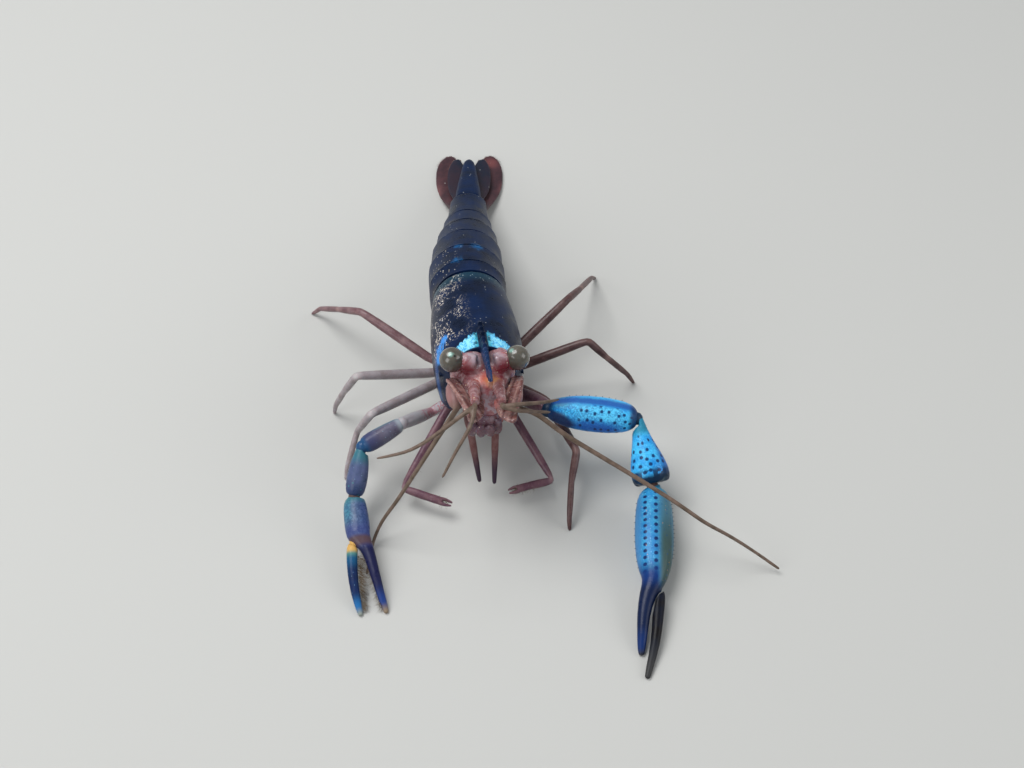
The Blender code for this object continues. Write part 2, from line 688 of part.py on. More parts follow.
CLAWS = {
    "left": dict(
        side=1, root=8.6, hip=(5.5, 12.5),
        base=((7.7, -0.2, 8.3), 1.15),
        arm=((18.3, -2.8, 8.2), ((0, 0.95, 0.9), (0.06, 1.45, 1.35), (0.2, 2.05, 1.9), (0.45, 2.4, 2.2),
                                 (0.7, 2.35, 2.1), (0.88, 2.0, 1.8), (0.96, 1.5, 1.4), (1, 0.9, 0.9))),
        wrist=((19.4, -10.2, 3.6), ((-0.05, 0.65, 0.65), (0.1, 0.85, 0.85), (0.28, 1.15, 1.1),
                                    (0.5, 1.85, 1.7), (0.7, 2.4, 2.1), (0.85, 2.5, 2.05), (0.93, 2.15, 1.7))),
        hand=((17.2, -23.0, 2.3), ((-0.07, 0.7, 0.7), (0.01, 0.85, 0.8), (0.035, 1.35, 1.15), (0.08, 1.9, 1.55),
                                   (0.2, 2.3, 1.85), (0.5, 2.45, 1.95), (0.72, 2.3, 1.85), (0.88, 1.85, 1.55),
                                   (0.97, 1.35, 1.2))),
        fixed=((16.1, -24.2, 2.1, 0.95), (15.3, -26.5, 1.6, 0.75), (14.8, -28.8, 1.0, 0.6),
               (14.5, -30.2, 0, 0.45), (14.4, -30.8, 0, 0.3)),
        moving=((17.6, -22.9, 2.1, 0.55), (17.5, -24.6, 1.9, 0.75), (16.9, -27.0, 1.5, 0.65),
                (16.2, -29.8, 1.0, 0.55), (15.0, -32.6, 0, 0.4), (14.5, -33.8, 0, 0.3))),
    "right": dict(
        side=-1, root=7.5, hip=(5.5, 14.0),
        base=((-10.2, 0.1, 7.9), 0.78),
        arm=((-15.3, -2.3, 7.0), ((0, 0.7, 0.7), (0.12, 0.95, 0.9), (0.4, 1.15, 1.1), (0.8, 1.25, 1.2),
                                  (0.95, 1.05, 1.0), (1, 0.65, 0.65))),
        wrist=((-16.85, -7.1, 3.4), ((-0.05, 0.55, 0.55), (0.12, 0.8, 0.75), (0.35, 1.2, 1.15),
                                     (0.65, 1.35, 1.3), (0.88, 1.2, 1.15), (0.96, 0.9, 0.85))),
        hand=((-16.6, -12.7, 2.6), ((-0.06, 0.6, 0.6), (0.02, 0.7, 0.7), (0.07, 1.15, 1.05), (0.2, 1.45, 1.25),
                                    (0.5, 1.52, 1.3), (0.8, 1.55, 1.25), (0.96, 1.4, 1.1))),
        fixed=((-15.75, -13.6, 2.4, 0.8), (-15.3, -15.6, 2.1, 0.66), (-14.7, -18.8, 1.2, 0.52),
               (-14.15, -21.1, 0, 0.38), (-14.0, -21.8, 0, 0.24)),
        moving=((-17.3, -12.7, 2.5, 0.5), (-17.5, -14.0, 2.3, 0.68), (-17.65, -16.6, 1.8, 0.6),
                (-17.45, -19.4, 1.0, 0.5), (-17.1, -21.1, 0, 0.36), (-17.0, -21.8, 0, 0.24))),
}


def chain_piece(name, stations, colour, cuts, sides=12):
    """Piece of a chain, trimmed clear of what it grows from; returns the gap round it."""
    obj = solid(name, tube_rings(stations, sides), colour, 0.3)
    cut(obj, *cuts)
    return cutter(name + "_gap", tube_rings(stations, sides, GAP))


def finger_stations(rows, flat=0.85):
    """Stations of a finger; a height of 0 lays its lowest side, of twelve, on the floor."""
    stations = []
    for x, y, z, wide in rows:
        high = wide * flat
        stations.append((Vector((x, y, z or high * math.cos(math.pi / 12))), wide, high))
    return stations


def make_claw(label, cuts, colours):
    """One of the two long clawed legs, from its root to its finger tips."""
    claw = CLAWS[label]
    root, out = hip(claw["root"], claw["side"], *claw["hip"], 11.6)
    base_end, base_radius = Vector(claw["base"][0]), claw["base"][1]
    stations = jointed([root, out, base_end], (base_radius * 0.8, base_radius * 0.85, base_radius))
    gap = chain_piece(f"claw_base_{label}", stations, colours[0], cuts)
    start = base_end
    for part, colour in zip(("arm", "wrist", "hand"), colours[1:4]):
        end, profile = claw[part]
        stations = shaped(start, end, profile)
        if part == "hand":
            stations += finger_stations(claw["fixed"])
        gap = chain_piece(f"claw_{part}_{label}", stations, colour, [gap])
        start = Vector(end)
    moving = finger_stations(claw["moving"])
    cut(solid(f"claw_finger_{label}", tube_rings(moving, 12), colours[4], 0.3), gap)


# The scene starts empty; the pieces go in one collection and the cutters in another

for old in list(bpy.data.objects):
    bpy.data.objects.remove(old)
prawn = bpy.data.collections.new("Hancocks river prawn")
cutters = bpy.data.collections.new("Cutters")
bpy.context.scene.collection.children.link(prawn)
bpy.context.scene.collection.children.link(cutters)

eye_gaps = [eye_gap(1, "left"), eye_gap(-1, "right")]
make_carapace(eye_gaps)
make_rostrum()
carapace_gap = cutter("carapace_gap", [shell_ring(s, blend(HALF_WIDTH, s), blend(DEPTH, s), GAP)
                                       for s in (-GAP, 1.5, 4)])
thorax_gap = cutter("thorax_gap", thorax_rings(GAP))
solid("thorax", thorax_rings(), LILAC)
head_gap = cutter("head_gap", head_rings(GAP))
rostrum_gap = cutter("rostrum_gap", [crest_gap_ring(s) for s in (0, -1.2, -2.5, -4, -6)])
cut(solid("head", head_rings(), FACE), rostrum_gap)
make_mouthparts()
make_abdomen()
make_telson()

RAMI = {
    "left": (((2.8, -9.0, 20.3), (4.4, -8.1, 19.2), (6.2, -7.0, 17.9), (8.1, -5.7, 16.6)),
             ((2.8, -9.5, 19.8), (4.7, -8.4, 18.1), (6.9, -7.1, 16.1))),
    "right": (((-3.4, -9.6, 20.2), (-6.2, -10.6, 18.6), (-9.6, -11.2, 16.6), (-13.6, -10.8, 15.2)),
              ((-2.5, -10.9, 20.0), (-4.4, -13.0, 18.4), (-6.4, -15.4, 16.4))),
}
SCALE_TIP = {"left": 3.3, "right": 2.4}
MAXILLIPEDS = {"left": ((0.9, -2.9, 9.5), (0.35, -6.0, 2.0)), "right": ((-2.2, -2.7, 9.5), (-1.4, -5.5, 2.0))}
FIRST_LEGS = {"left": ((7.5, -6.8, 2.6), (4.4, -7.0, 2.2), (1.9, -7.5, 2.1)),
              "right": ((-10.9, -5.8, 2.6), (-7.7, -7.4, 2.3), (-5.1, -8.6, 2.1))}
CLAW_COLOURS = {"left": (WINE, AZURE, AZURE, AZURE, INDIGO), "right": (LILAC, LILAC, INDIGO, TEAL, TEAL)}

for side, label in ((1, "left"), (-1, "right")):
    cut(make_eye(side, label), head_gap, rostrum_gap)
    cut(make_antennule(side, label, RAMI[label]), head_gap)
    cut(make_antenna(side, label), head_gap, carapace_gap)
    antenna_gap = cutter(f"antenna_{label}_gap", tube_rings(antenna_stations(side, label)[:6], 8, GAP))
    antennule_gap = cutter(f"antennule_{label}_gap", antennule_rings(side, GAP))
    cut(make_scale(side, label, SCALE_TIP[label]), antenna_gap, antennule_gap, head_gap)
    make_uropods(side, label)
    make_pleopods(side, label)
    cut(make_maxilliped(side, label, *MAXILLIPEDS[label]), thorax_gap)
    make_first_leg(side, label, *FIRST_LEGS[label], [thorax_gap])
    make_claw(label, [thorax_gap], CLAW_COLOURS[label])

for name, (s, depth, joints) in WALKING_LEGS.items():
    make_walking_leg(name, s, depth, joints, [thorax_gap])
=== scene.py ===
"""Hancock's river prawn, a still model at life size: shell, skin, bristles, light and view."""
import json
import math
import random

import bmesh
import bpy
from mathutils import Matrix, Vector

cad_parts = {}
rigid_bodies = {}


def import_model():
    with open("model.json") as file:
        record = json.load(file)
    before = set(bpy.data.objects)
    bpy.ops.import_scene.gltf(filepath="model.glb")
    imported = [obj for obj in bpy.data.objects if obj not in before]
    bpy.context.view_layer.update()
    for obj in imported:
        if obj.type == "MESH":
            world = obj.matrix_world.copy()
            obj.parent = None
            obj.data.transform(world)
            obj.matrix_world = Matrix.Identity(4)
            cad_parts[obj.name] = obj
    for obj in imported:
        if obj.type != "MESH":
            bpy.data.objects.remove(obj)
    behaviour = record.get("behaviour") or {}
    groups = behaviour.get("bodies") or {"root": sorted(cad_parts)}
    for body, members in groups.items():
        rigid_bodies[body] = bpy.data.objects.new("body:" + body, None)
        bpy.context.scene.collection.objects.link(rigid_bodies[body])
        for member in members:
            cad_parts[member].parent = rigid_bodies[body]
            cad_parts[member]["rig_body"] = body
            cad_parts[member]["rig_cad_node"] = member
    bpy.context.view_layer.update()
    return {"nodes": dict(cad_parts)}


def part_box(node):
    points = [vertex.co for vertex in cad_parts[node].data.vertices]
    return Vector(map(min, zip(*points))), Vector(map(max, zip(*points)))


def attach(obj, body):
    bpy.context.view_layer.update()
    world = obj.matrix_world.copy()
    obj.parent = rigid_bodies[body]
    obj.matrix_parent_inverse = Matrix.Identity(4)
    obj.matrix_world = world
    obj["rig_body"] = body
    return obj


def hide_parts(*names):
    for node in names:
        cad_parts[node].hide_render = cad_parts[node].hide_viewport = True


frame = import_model()
MM = 0.001


# Table, light and view.
# The prawn stands on a plain pale table under three soft lamps. The camera looks down on its
# head from a hand's breadth away, as a close-up lens of 50 mm does.
bpy.ops.object.select_all(action="DESELECT")
bpy.ops.mesh.primitive_plane_add(size=3, location=(0, 0, -0.03 * MM))
table = bpy.context.object
table.name = "table"
table_paint = bpy.data.materials.new("Table")
table_paint.use_nodes = True
table_paint.node_tree.nodes["Principled BSDF"].inputs["Base Color"].default_value = (0.52, 0.52, 0.5, 1)
table_paint.node_tree.nodes["Principled BSDF"].inputs["Roughness"].default_value = 0.85
table.data.materials.append(table_paint)

bpy.ops.object.camera_add(location=(-0.0156, -0.1236, 0.1423),
                          rotation=(math.radians(41), 0, math.radians(-6.8)))
camera = bpy.context.object
camera.data.lens = 50
camera.data.clip_start = 0.005
bpy.context.scene.camera = camera

for lamp_name, place, turn, width, power in (
        ("Lamp above", (-0.16, 0.1, 0.4), (-14, -22, 0), 0.26, 1.5),
        ("Lamp left", (-0.36, -0.24, 0.26), (52, 0, -56), 0.26, 0.75),
        ("Lamp right", (0.38, -0.12, 0.24), (58, 0, 73), 0.26, 0.5)):
    bpy.ops.object.light_add(type="AREA", location=place,
                             rotation=[math.radians(angle) for angle in turn])
    lamp = bpy.context.object
    lamp.name = lamp_name
    lamp.data.size = width
    lamp.data.energy = power

room = bpy.data.worlds.new("Studio")
room.use_nodes = True
room.node_tree.nodes["Background"].inputs["Color"].default_value = (0.92, 0.96, 1, 1)
room.node_tree.nodes["Background"].inputs["Strength"].default_value = 0.36
bpy.context.scene.world = room
bpy.context.scene.view_settings.view_transform = "Standard"


# Carapace and rostrum.
# The head and chest lie under one shell, very dark navy, that runs out ahead in a toothed blade.
# Beside the blade it has two azure blazes with ragged rear edges, and pale flecks on its right.

def finer_copy(node, name, rounds=2, crease=0.0, cell=0.0, smooth=0, swell=0.0):
    """A rounder copy of a plain solid: merged, subdivided, and remeshed in small cells if asked."""
    bpy.ops.object.select_all(action="DESELECT")
    source = frame["nodes"][node]
    source.select_set(True)
    bpy.context.view_layer.objects.active = source
    bpy.ops.object.duplicate()
    copy = bpy.context.object
    copy.name = name
    copy.parent = None
    del copy["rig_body"], copy["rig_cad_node"]
    copy.data.materials.clear()
    bpy.ops.mesh.customdata_custom_splitnormals_clear()
    bpy.ops.object.mode_set(mode="EDIT")
    bpy.ops.mesh.select_all(action="SELECT")
    bpy.ops.mesh.remove_doubles(threshold=0.002 * MM)
    bpy.ops.mesh.tris_convert_to_quads()
    if crease:
        bpy.ops.mesh.select_all(action="DESELECT")
        bpy.ops.mesh.edges_select_sharp(sharpness=math.radians(55))
        bpy.ops.transform.edge_crease(value=crease)
    bpy.ops.object.mode_set(mode="OBJECT")
    if rounds:
        finish_with(copy, "SUBSURF", levels=rounds, render_levels=rounds)
    if cell:
        finish_with(copy, "REMESH", mode="VOXEL", voxel_size=cell * MM)
    if smooth:
        finish_with(copy, "SMOOTH", factor=0.5, iterations=smooth)
    if swell:
        finish_with(copy, "DISPLACE", strength=swell * MM, mid_level=0)
    bpy.ops.object.shade_smooth()
    return copy


def finish_with(piece, kind, **settings):
    """Add a modifier with its settings, and apply it."""
    modifier = piece.modifiers.new(kind.title(), kind)
    for label, value in settings.items():
        setattr(modifier, label, value)
    bpy.context.view_layer.objects.active = piece
    bpy.ops.object.modifier_apply(modifier=modifier.name)


def joined(name, pieces, cell, smooth):
    """Pieces joined and remeshed in small cells, so that one skin runs over all of them."""
    bpy.ops.object.select_all(action="DESELECT")
    for piece in pieces:
        piece.select_set(True)
    whole = pieces[0]
    bpy.context.view_layer.objects.active = whole
    bpy.ops.object.join()
    whole.name = name
    finish_with(whole, "REMESH", mode="VOXEL", voxel_size=cell * MM)
    finish_with(whole, "SMOOTH", factor=0.5, iterations=smooth)
    bpy.ops.object.shade_smooth()
    return whole


def dress(piece, material, slot, *nodes):
    """Give a piece its material, and let it stand for its plain solids. The slot is not used."""
    piece.data.materials.clear()
    piece.data.materials.append(material)
    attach(piece, "root")
    if nodes:
        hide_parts(*nodes)


def put(tree, kind, values, **settings):
    """Add a shader node with its settings, and values or links for its inputs."""
    made = tree.nodes.new(kind)
    for label, value in settings.items():
        setattr(made, label, value)
    for label, value in values.items():
        if isinstance(value, bpy.types.NodeSocket):
            tree.links.new(value, made.inputs[label])
        else:
            made.inputs[label].default_value = value
    return made


def maths(tree, operation, a, b=0.0):
    """The result of one sum on values."""
    return put(tree, "ShaderNodeMath", {0: a, 1: b}, operation=operation).outputs[0]


def vectors(tree, operation, a, b, result="Vector"):
    """The result of one sum on vectors."""
    return put(tree, "ShaderNodeVectorMath", {0: a, 1: b}, operation=operation).outputs[result]


def ramp(tree, value, low, high, **settings):
    """A value's way from 0 where it is low to 1 where it is high."""
    return put(tree, "ShaderNodeMapRange", {"Value": value, "From Min": low, "From Max": high},
               **settings).outputs["Result"]


def some_cells(tree, cells, share, channel=0):
    """Mask of a share of the cells of a cell texture."""
    colours = put(tree, "ShaderNodeSeparateColor", {0: cells.outputs["Color"]})
    return maths(tree, "LESS_THAN", colours.outputs[channel], share)


def new_effect(name, inputs, outputs):
    """A node group for an effect that several skins share, with its input and output sockets."""
    group = bpy.data.node_groups.new(name, "ShaderNodeTree")
    for label, value in inputs.items():
        kind = "NodeSocketVector" if value is None else "NodeSocketFloat"
        socket = group.interface.new_socket(label, in_out="INPUT", socket_type=kind)
        if value is not None:
            socket.default_value = value
    for label in outputs:
        group.interface.new_socket(label, in_out="OUTPUT", socket_type="NodeSocketFloat")
    return group, group.nodes.new("NodeGroupInput").outputs, group.nodes.new("NodeGroupOutput").inputs


# A round patch with a ragged edge
patch, given, result = new_effect("Patch", {"Vector": None, "Centre": None, "Reach": 0.002, "Soft": 0.0005,
                                            "Ragged": 0.001, "Grain": 900.0}, ("Mask",))
waves = put(patch, "ShaderNodeTexNoise", {"Vector": given["Vector"], "Scale": given["Grain"],
                                          "Detail": 3.0})
edge = maths(patch, "MULTIPLY", maths(patch, "SUBTRACT", waves.outputs["Fac"], 0.5), given["Ragged"])
far = maths(patch, "ADD", vectors(patch, "DISTANCE", given["Vector"], given["Centre"], "Value"), edge)
outer = maths(patch, "ADD", given["Reach"], given["Soft"])
inner = maths(patch, "SUBTRACT", given["Reach"], given["Soft"])
patch.links.new(ramp(patch, far, outer, inner, interpolation_type="SMOOTHSTEP"), result["Mask"])

# Small separate spots, one in each cell of a given share of the cells
flecks, given, result = new_effect("Flecks", {"Vector": None, "Scale": 1500.0, "Size": 0.2, "Share": 0.5},
                                   ("Mask",))
cells = put(flecks, "ShaderNodeTexVoronoi", {"Vector": given["Vector"], "Scale": given["Scale"]})
wide = maths(flecks, "MULTIPLY", given["Size"], 1.35)
spot = ramp(flecks, cells.outputs["Distance"], wide, given["Size"])
chosen = some_cells(flecks, cells, given["Share"])
flecks.links.new(maths(flecks, "MULTIPLY", spot, chosen), result["Mask"])

# Thin crooked lines, broken into short squiggles
squiggles, given, result = new_effect("Squiggles", {"Vector": None, "Scale": 2500.0, "Width": 0.03,
                                                    "Share": 0.5}, ("Mask",))
lines = put(squiggles, "ShaderNodeTexNoise", {"Vector": given["Vector"], "Scale": given["Scale"],
                                              "Detail": 1.0})
lines = maths(squiggles, "ABSOLUTE", maths(squiggles, "SUBTRACT", lines.outputs["Fac"], 0.5))
lines = ramp(squiggles, lines, maths(squiggles, "MULTIPLY", given["Width"], 1.5),
             maths(squiggles, "MULTIPLY", given["Width"], 0.7))
finer = maths(squiggles, "MULTIPLY", given["Scale"], 1.3)
cells = put(squiggles, "ShaderNodeTexVoronoi", {"Vector": given["Vector"], "Scale": finer})
chosen = some_cells(squiggles, cells, given["Share"], 1)
squiggles.links.new(maths(squiggles, "MULTIPLY", lines, chosen), result["Mask"])

# Fine grain of a shell: shallow pits with faint swells, and slow clouds for its colour
grain, given, result = new_effect("Shell grain", {"Vector": None, "Scale": 3000.0, "Cloud scale": 400.0},
                                  ("Height", "Cloud", "Fibres"))
swell = put(grain, "ShaderNodeTexNoise", {"Vector": given["Vector"], "Scale": given["Scale"], "Detail": 4.0})
pits = put(grain, "ShaderNodeTexVoronoi", {"Vector": given["Vector"], "Scale": given["Scale"]})
pits = maths(grain, "MINIMUM", pits.outputs["Distance"], 0.35)
grain.links.new(maths(grain, "ADD", swell.outputs["Fac"], pits), result["Height"])
cloud = put(grain, "ShaderNodeTexNoise", {"Vector": given["Vector"], "Scale": given["Cloud scale"],
                                          "Detail": 5.0, "Roughness": 0.62})
grain.links.new(ramp(grain, cloud.outputs["Fac"], 0.38, 0.62), result["Cloud"])
drawn_out = vectors(grain, "MULTIPLY", given["Vector"], (1.0, 0.2, 0.6))
fibres = put(grain, "ShaderNodeTexNoise", {"Vector": drawn_out, "Scale": 4500.0, "Detail": 3.0})
grain.links.new(fibres.outputs["Fac"], result["Fibres"])

# Place on a limb or body: how far along a line, how far to its side and above it, and away from it
limb, given, result = new_effect("Limb", {"Vector": None, "Start": None, "End": None},
                                 ("Along", "Side", "Height", "Away"))
way = put(limb, "ShaderNodeVectorMath", {0: vectors(limb, "SUBTRACT", given["End"], given["Start"])},
          operation="NORMALIZE").outputs[0]
aside = put(limb, "ShaderNodeVectorMath", {0: vectors(limb, "CROSS_PRODUCT", way, (0.0, 0.0, 1.0))},
            operation="NORMALIZE").outputs[0]
above = vectors(limb, "CROSS_PRODUCT", aside, way)
offset = vectors(limb, "SUBTRACT", given["Vector"], given["Start"])
for label, direction in (("Along", way), ("Side", aside), ("Height", above)):
    limb.links.new(vectors(limb, "DOT_PRODUCT", offset, direction, "Value"), result[label])
away = vectors(limb, "CROSS_PRODUCT", offset, way)
away = put(limb, "ShaderNodeVectorMath", {0: away}, operation="LENGTH").outputs["Value"]
limb.links.new(away, result["Away"])

# A row of round dots along a limb
dots, given, result = new_effect("Row of dots", {"Along": 0.0, "Side": 0.0, "Apart": 0.001, "Offset": 0.0,
                                                 "Radius": 0.0002}, ("Mask",))
beat = maths(dots, "FRACT", maths(dots, "DIVIDE", given["Along"], given["Apart"]))
beat = maths(dots, "MULTIPLY", maths(dots, "SUBTRACT", beat, 0.5), given["Apart"])
across = maths(dots, "SUBTRACT", given["Side"], given["Offset"])
reach = maths(dots, "SQRT", maths(dots, "ADD", maths(dots, "MULTIPLY", beat, beat),
                                  maths(dots, "MULTIPLY", across, across)))
dot = ramp(dots, reach, maths(dots, "MULTIPLY", given["Radius"], 1.3),
           maths(dots, "MULTIPLY", given["Radius"], 0.8))
dots.links.new(dot, result["Mask"])

# Freckles of one size, set out over a limb in loose rows
freckles, given, result = new_effect("Freckles", {"Along": 0.0, "Side": 0.0, "Scale": 1000.0, "Size": 0.2,
                                                  "Share": 0.5}, ("Mask",))
flat = put(freckles, "ShaderNodeCombineXYZ", {"X": given["Along"], "Y": given["Side"]}).outputs[0]
cells = put(freckles, "ShaderNodeTexVoronoi", {"Vector": flat, "Scale": given["Scale"], "Randomness": 0.6},
            voronoi_dimensions="2D")
spot = ramp(freckles, cells.outputs["Distance"], maths(freckles, "MULTIPLY", given["Size"], 1.4),
            maths(freckles, "MULTIPLY", given["Size"], 0.8))
chosen = some_cells(freckles, cells, given["Share"])
freckles.links.new(maths(freckles, "MULTIPLY", spot, chosen), result["Mask"])


class Skin:
    """A procedural skin: colours laid over each other by masks, with a fine grain, in millimetres."""

    def __init__(self, name, colour, rough=0.36, shine=0.3, coat=0.0, pits=0.4, cloud=2.5, depth=0.04,
                 glow=0.0):
        self.material = bpy.data.materials.new(name)
        self.material.use_nodes = True
        self.tree = self.material.node_tree
        self.shader = self.tree.nodes["Principled BSDF"]
        self.place = put(self.tree, "ShaderNodeTexCoord", {}).outputs["Object"]
        grains = put(self.tree, "ShaderNodeGroup", {}, node_tree=grain)
        self.tree.links.new(self.place, grains.inputs["Vector"])
        grains.inputs["Scale"].default_value = 1000 / pits
        grains.inputs["Cloud scale"].default_value = 1000 / cloud
        self.cloud, self.fibres = grains.outputs["Cloud"], grains.outputs["Fibres"]
        self.colour = (*colour, 1)
        for label, value in (("Base Color", self.colour), ("Specular IOR Level", shine),
                             ("Coat Weight", coat), ("Coat Roughness", 0.12),
                             ("Subsurface Weight", glow), ("Subsurface Scale", 0.6 * MM)):
            self.shader.inputs[label].default_value = value
        bump = put(self.tree, "ShaderNodeBump", {"Height": grains.outputs["Height"], "Strength": 0.35,
                                                 "Distance": depth * MM})
        self.tree.links.new(bump.outputs[0], self.shader.inputs["Normal"])
        sheen = put(self.tree, "ShaderNodeMapRange", {"Value": self.cloud, "To Min": rough - 0.06,
                                                      "To Max": rough + 0.06})
        self.tree.links.new(sheen.outputs["Result"], self.shader.inputs["Roughness"])

    def lay(self, colour, mask, strength=1.0):
        """Lay a colour over the skin where the mask is 1."""
        if strength != 1:
            mask = maths(self.tree, "MULTIPLY", mask, strength)
        self.colour = put(self.tree, "ShaderNodeMix", {0: mask, 6: self.colour, 7: (*colour, 1)},
                          data_type="RGBA").outputs[2]
        self.tree.links.new(self.colour, self.shader.inputs["Base Color"])

    def near(self, centre, reach, soft=0.4, ragged=0.0, wave=1.1):
        """Mask of a round patch."""
        values = {"Vector": self.place, "Centre": [c * MM for c in centre], "Reach": reach * MM,
                  "Soft": soft * MM, "Ragged": ragged * MM, "Grain": 1000 / wave}
        return put(self.tree, "ShaderNodeGroup", values, node_tree=patch).outputs["Mask"]

    def spots(self, apart, size, share):
        """Mask of small spots: their distance, size as a share of that, and share of cells with one."""
        values = {"Vector": self.place, "Scale": 1000 / apart, "Size": size, "Share": share}
        return put(self.tree, "ShaderNodeGroup", values, node_tree=flecks).outputs["Mask"]

    def squiggles(self, apart, width, share):
        """Mask of short crooked lines."""
        values = {"Vector": self.place, "Scale": 1000 / apart, "Width": width, "Share": share}
        return put(self.tree, "ShaderNodeGroup", values, node_tree=squiggles).outputs["Mask"]

    def limb(self, start, end):
        """Where the surface lies on the line from start to end: Along, Side, Height and Away."""
        values = {"Vector": self.place, "Start": [c * MM for c in start], "End": [c * MM for c in end]}
        return put(self.tree, "ShaderNodeGroup", values, node_tree=limb).outputs

    def row(self, on_limb, apart, offset, radius):
        """Mask of a row of dots along a limb."""
        values = {"Along": on_limb["Along"], "Side": on_limb["Side"], "Apart": apart * MM,
                  "Offset": offset * MM, "Radius": radius * MM}
        return put(self.tree, "ShaderNodeGroup", values, node_tree=dots).outputs["Mask"]

    def freckles(self, on_limb, thick, apart, size, share):
        """Mask of freckles over and around a limb of a given thickness."""
        around = maths(self.tree, "ARCTAN2", on_limb["Side"], on_limb["Height"])
        around = maths(self.tree, "MULTIPLY", around, thick / 2 * MM)
        values = {"Along": on_limb["Along"], "Side": around, "Scale": 1000 / apart, "Size": size,
                  "Share": share}
        return put(self.tree, "ShaderNodeGroup", values, node_tree=freckles).outputs["Mask"]

    def rise(self, value, low, high):
        """Mask from 0 where a length is low to 1 where it is high. Clouds count in thousandths."""
        return ramp(self.tree, value, low * MM, high * MM, interpolation_type="SMOOTHSTEP")

    def both(self, *masks):
        """Mask where all masks are 1."""
        product = masks[0]
        for mask in masks[1:]:
            product = maths(self.tree, "MULTIPLY", product, mask)
        return product

    def either(self, *masks):
        """Mask where one of the masks is 1."""
        most = masks[0]
        for mask in masks[1:]:
            most = maths(self.tree, "MAXIMUM", most, mask)
        return most

    def outside(self, mask):
        """Mask where another is 0."""
        return maths(self.tree, "SUBTRACT", 1.0, mask)

    def fray(self, width):
        """Lengths that waver with the fibres of the shell, for a frayed edge."""
        return maths(self.tree, "MULTIPLY", maths(self.tree, "SUBTRACT", self.fibres, 0.5), width * MM)

    def line(self, start, end, reach, soft=0.3, ragged=0.0):
        """Mask of a stripe from start to end."""
        on_line = self.limb(start, end)
        length = math.dist(start, end)
        away = maths(self.tree, "ADD", on_line["Away"], self.fray(ragged))
        return self.both(self.rise(away, reach + soft, reach - soft), self.rise(on_line["Along"], -0.4, 0.1),
                         self.rise(on_line["Along"], length + 0.4, length - 0.1))


ORBIT = Vector((-5.6, -12.4, 20.5))
ALONG_BACK = Vector((0, 0.964, -0.266))
BACK_LENGTH, BLADE_LENGTH = 18.5, 8.5

navy_shell = Skin("Navy shell", (0.004, 0.009, 0.025), rough=0.33, shine=0.08, cloud=3.2)
tree, lay, rise, both = navy_shell.tree, navy_shell.lay, navy_shell.rise, navy_shell.both
near, spots, fibres = navy_shell.near, navy_shell.spots, navy_shell.fibres
lay((0.004, 0.018, 0.07), navy_shell.cloud, 0.75)
lay((0.02, 0.011, 0.018), near((-13.0, 0, 8), 6, 3, 2, 3), 0.6)
body = navy_shell.limb(ORBIT, ORBIT + ALONG_BACK * BACK_LENGTH)
side, along = body["Side"], body["Along"]
on_right = rise(side, -0.4, -3.6)
on_chest = both(rise(along, 3.0, 5.0), rise(along, 18.6, 18.2))
rear_margin = both(rise(along, 15.5, 17.8), rise(along, 18.6, 18.3))
# Painted sheen: a dark teal band along the rear margin of the shell.
lay((0.012, 0.05, 0.075), rear_margin, 0.7)
for place, reach in (((-4.0, 12.3, 13.1), 0.65), ((-6.5, 12.7, 13.2), 0.4), ((-7.0, 8.7, 14.4), 0.5)):
    lay((0.006, 0.12, 0.34), near(place, reach, 0.6, 1.8, 0.5), 0.7)
lay((0.018, 0.045, 0.13), rise(along, -0.3, -1.5), 0.75)

# The two azure blazes beside the blade
from_ridge = maths(tree, "ABSOLUTE", side)
slope = maths(tree, "ADD", maths(tree, "MULTIPLY", from_ridge, 0.62), along)
slope = maths(tree, "ADD", slope, navy_shell.fray(2.6))
blaze = both(rise(slope, 3.95, 3.5), rise(from_ridge, 0.5, 0.75), rise(from_ridge, 3.9, 3.5),
             rise(along, 0.15, 0.4), rise(body["Height"], -4.2, -3.4))
lay((0.04, 0.42, 0.86), blaze)
# Pale strands in the blazes, laid bright: partly their own colour, partly a painted white highlight.
strands_and_highlight = navy_shell.either(both(rise(fibres, 470, 640), rise(from_ridge, 0.9, 1.6)),
                            navy_shell.squiggles(0.2, 0.08, 0.8))
lay((0.38, 0.88, 1.0), both(blaze, strands_and_highlight), 0.8)
lay((0.02, 0.36, 0.42), both(blaze, rise(from_ridge, 1.25, 0.6)), 0.75)
lay((0.004, 0.012, 0.03), both(rise(from_ridge, 1.5, 0.8), blaze, rise(fibres, 520, 420)), 0.8)

# The blue edge on the right, and pale flecks on the right flank and along the tail
bright_edge = navy_shell.line((-9.75, -7.6, 17.6), (-10.7, -10.2, 15.8), 0.75, 0.25, 2.6)
blue_edge = navy_shell.line((-10.8, -8.6, 16.6), (-11.0, -11.2, 10.6), 1.0, 0.6, 1.4)
lay((0.012, 0.07, 0.24), blue_edge, 0.85)
lay((0.05, 0.27, 0.72), bright_edge, 0.95)
crowd = both(on_right, on_chest, rise(navy_shell.cloud, 330, 620), navy_shell.outside(bright_edge),
             rise(fibres, 360, 500), rise(body["Height"], -8.5, -4.0))
lay((0.9, 0.8, 0.66), both(navy_shell.squiggles(0.3, 0.034, 0.45), crowd))
lay((1.0, 0.92, 0.8), both(spots(0.3, 0.26, 0.3), crowd))
tail_side = both(on_right, rise(along, 18.6, 19.5), rise(along, 31, 24))
lay((0.6, 0.55, 0.46), both(spots(0.36, 0.17, 0.35), tail_side))
lay((0.42, 0.56, 0.62), both(spots(0.3, 0.2, 0.35), rear_margin), 0.8)
lay((0.5, 0.52, 0.52), spots(0.7, 0.08, 0.35), 0.8)

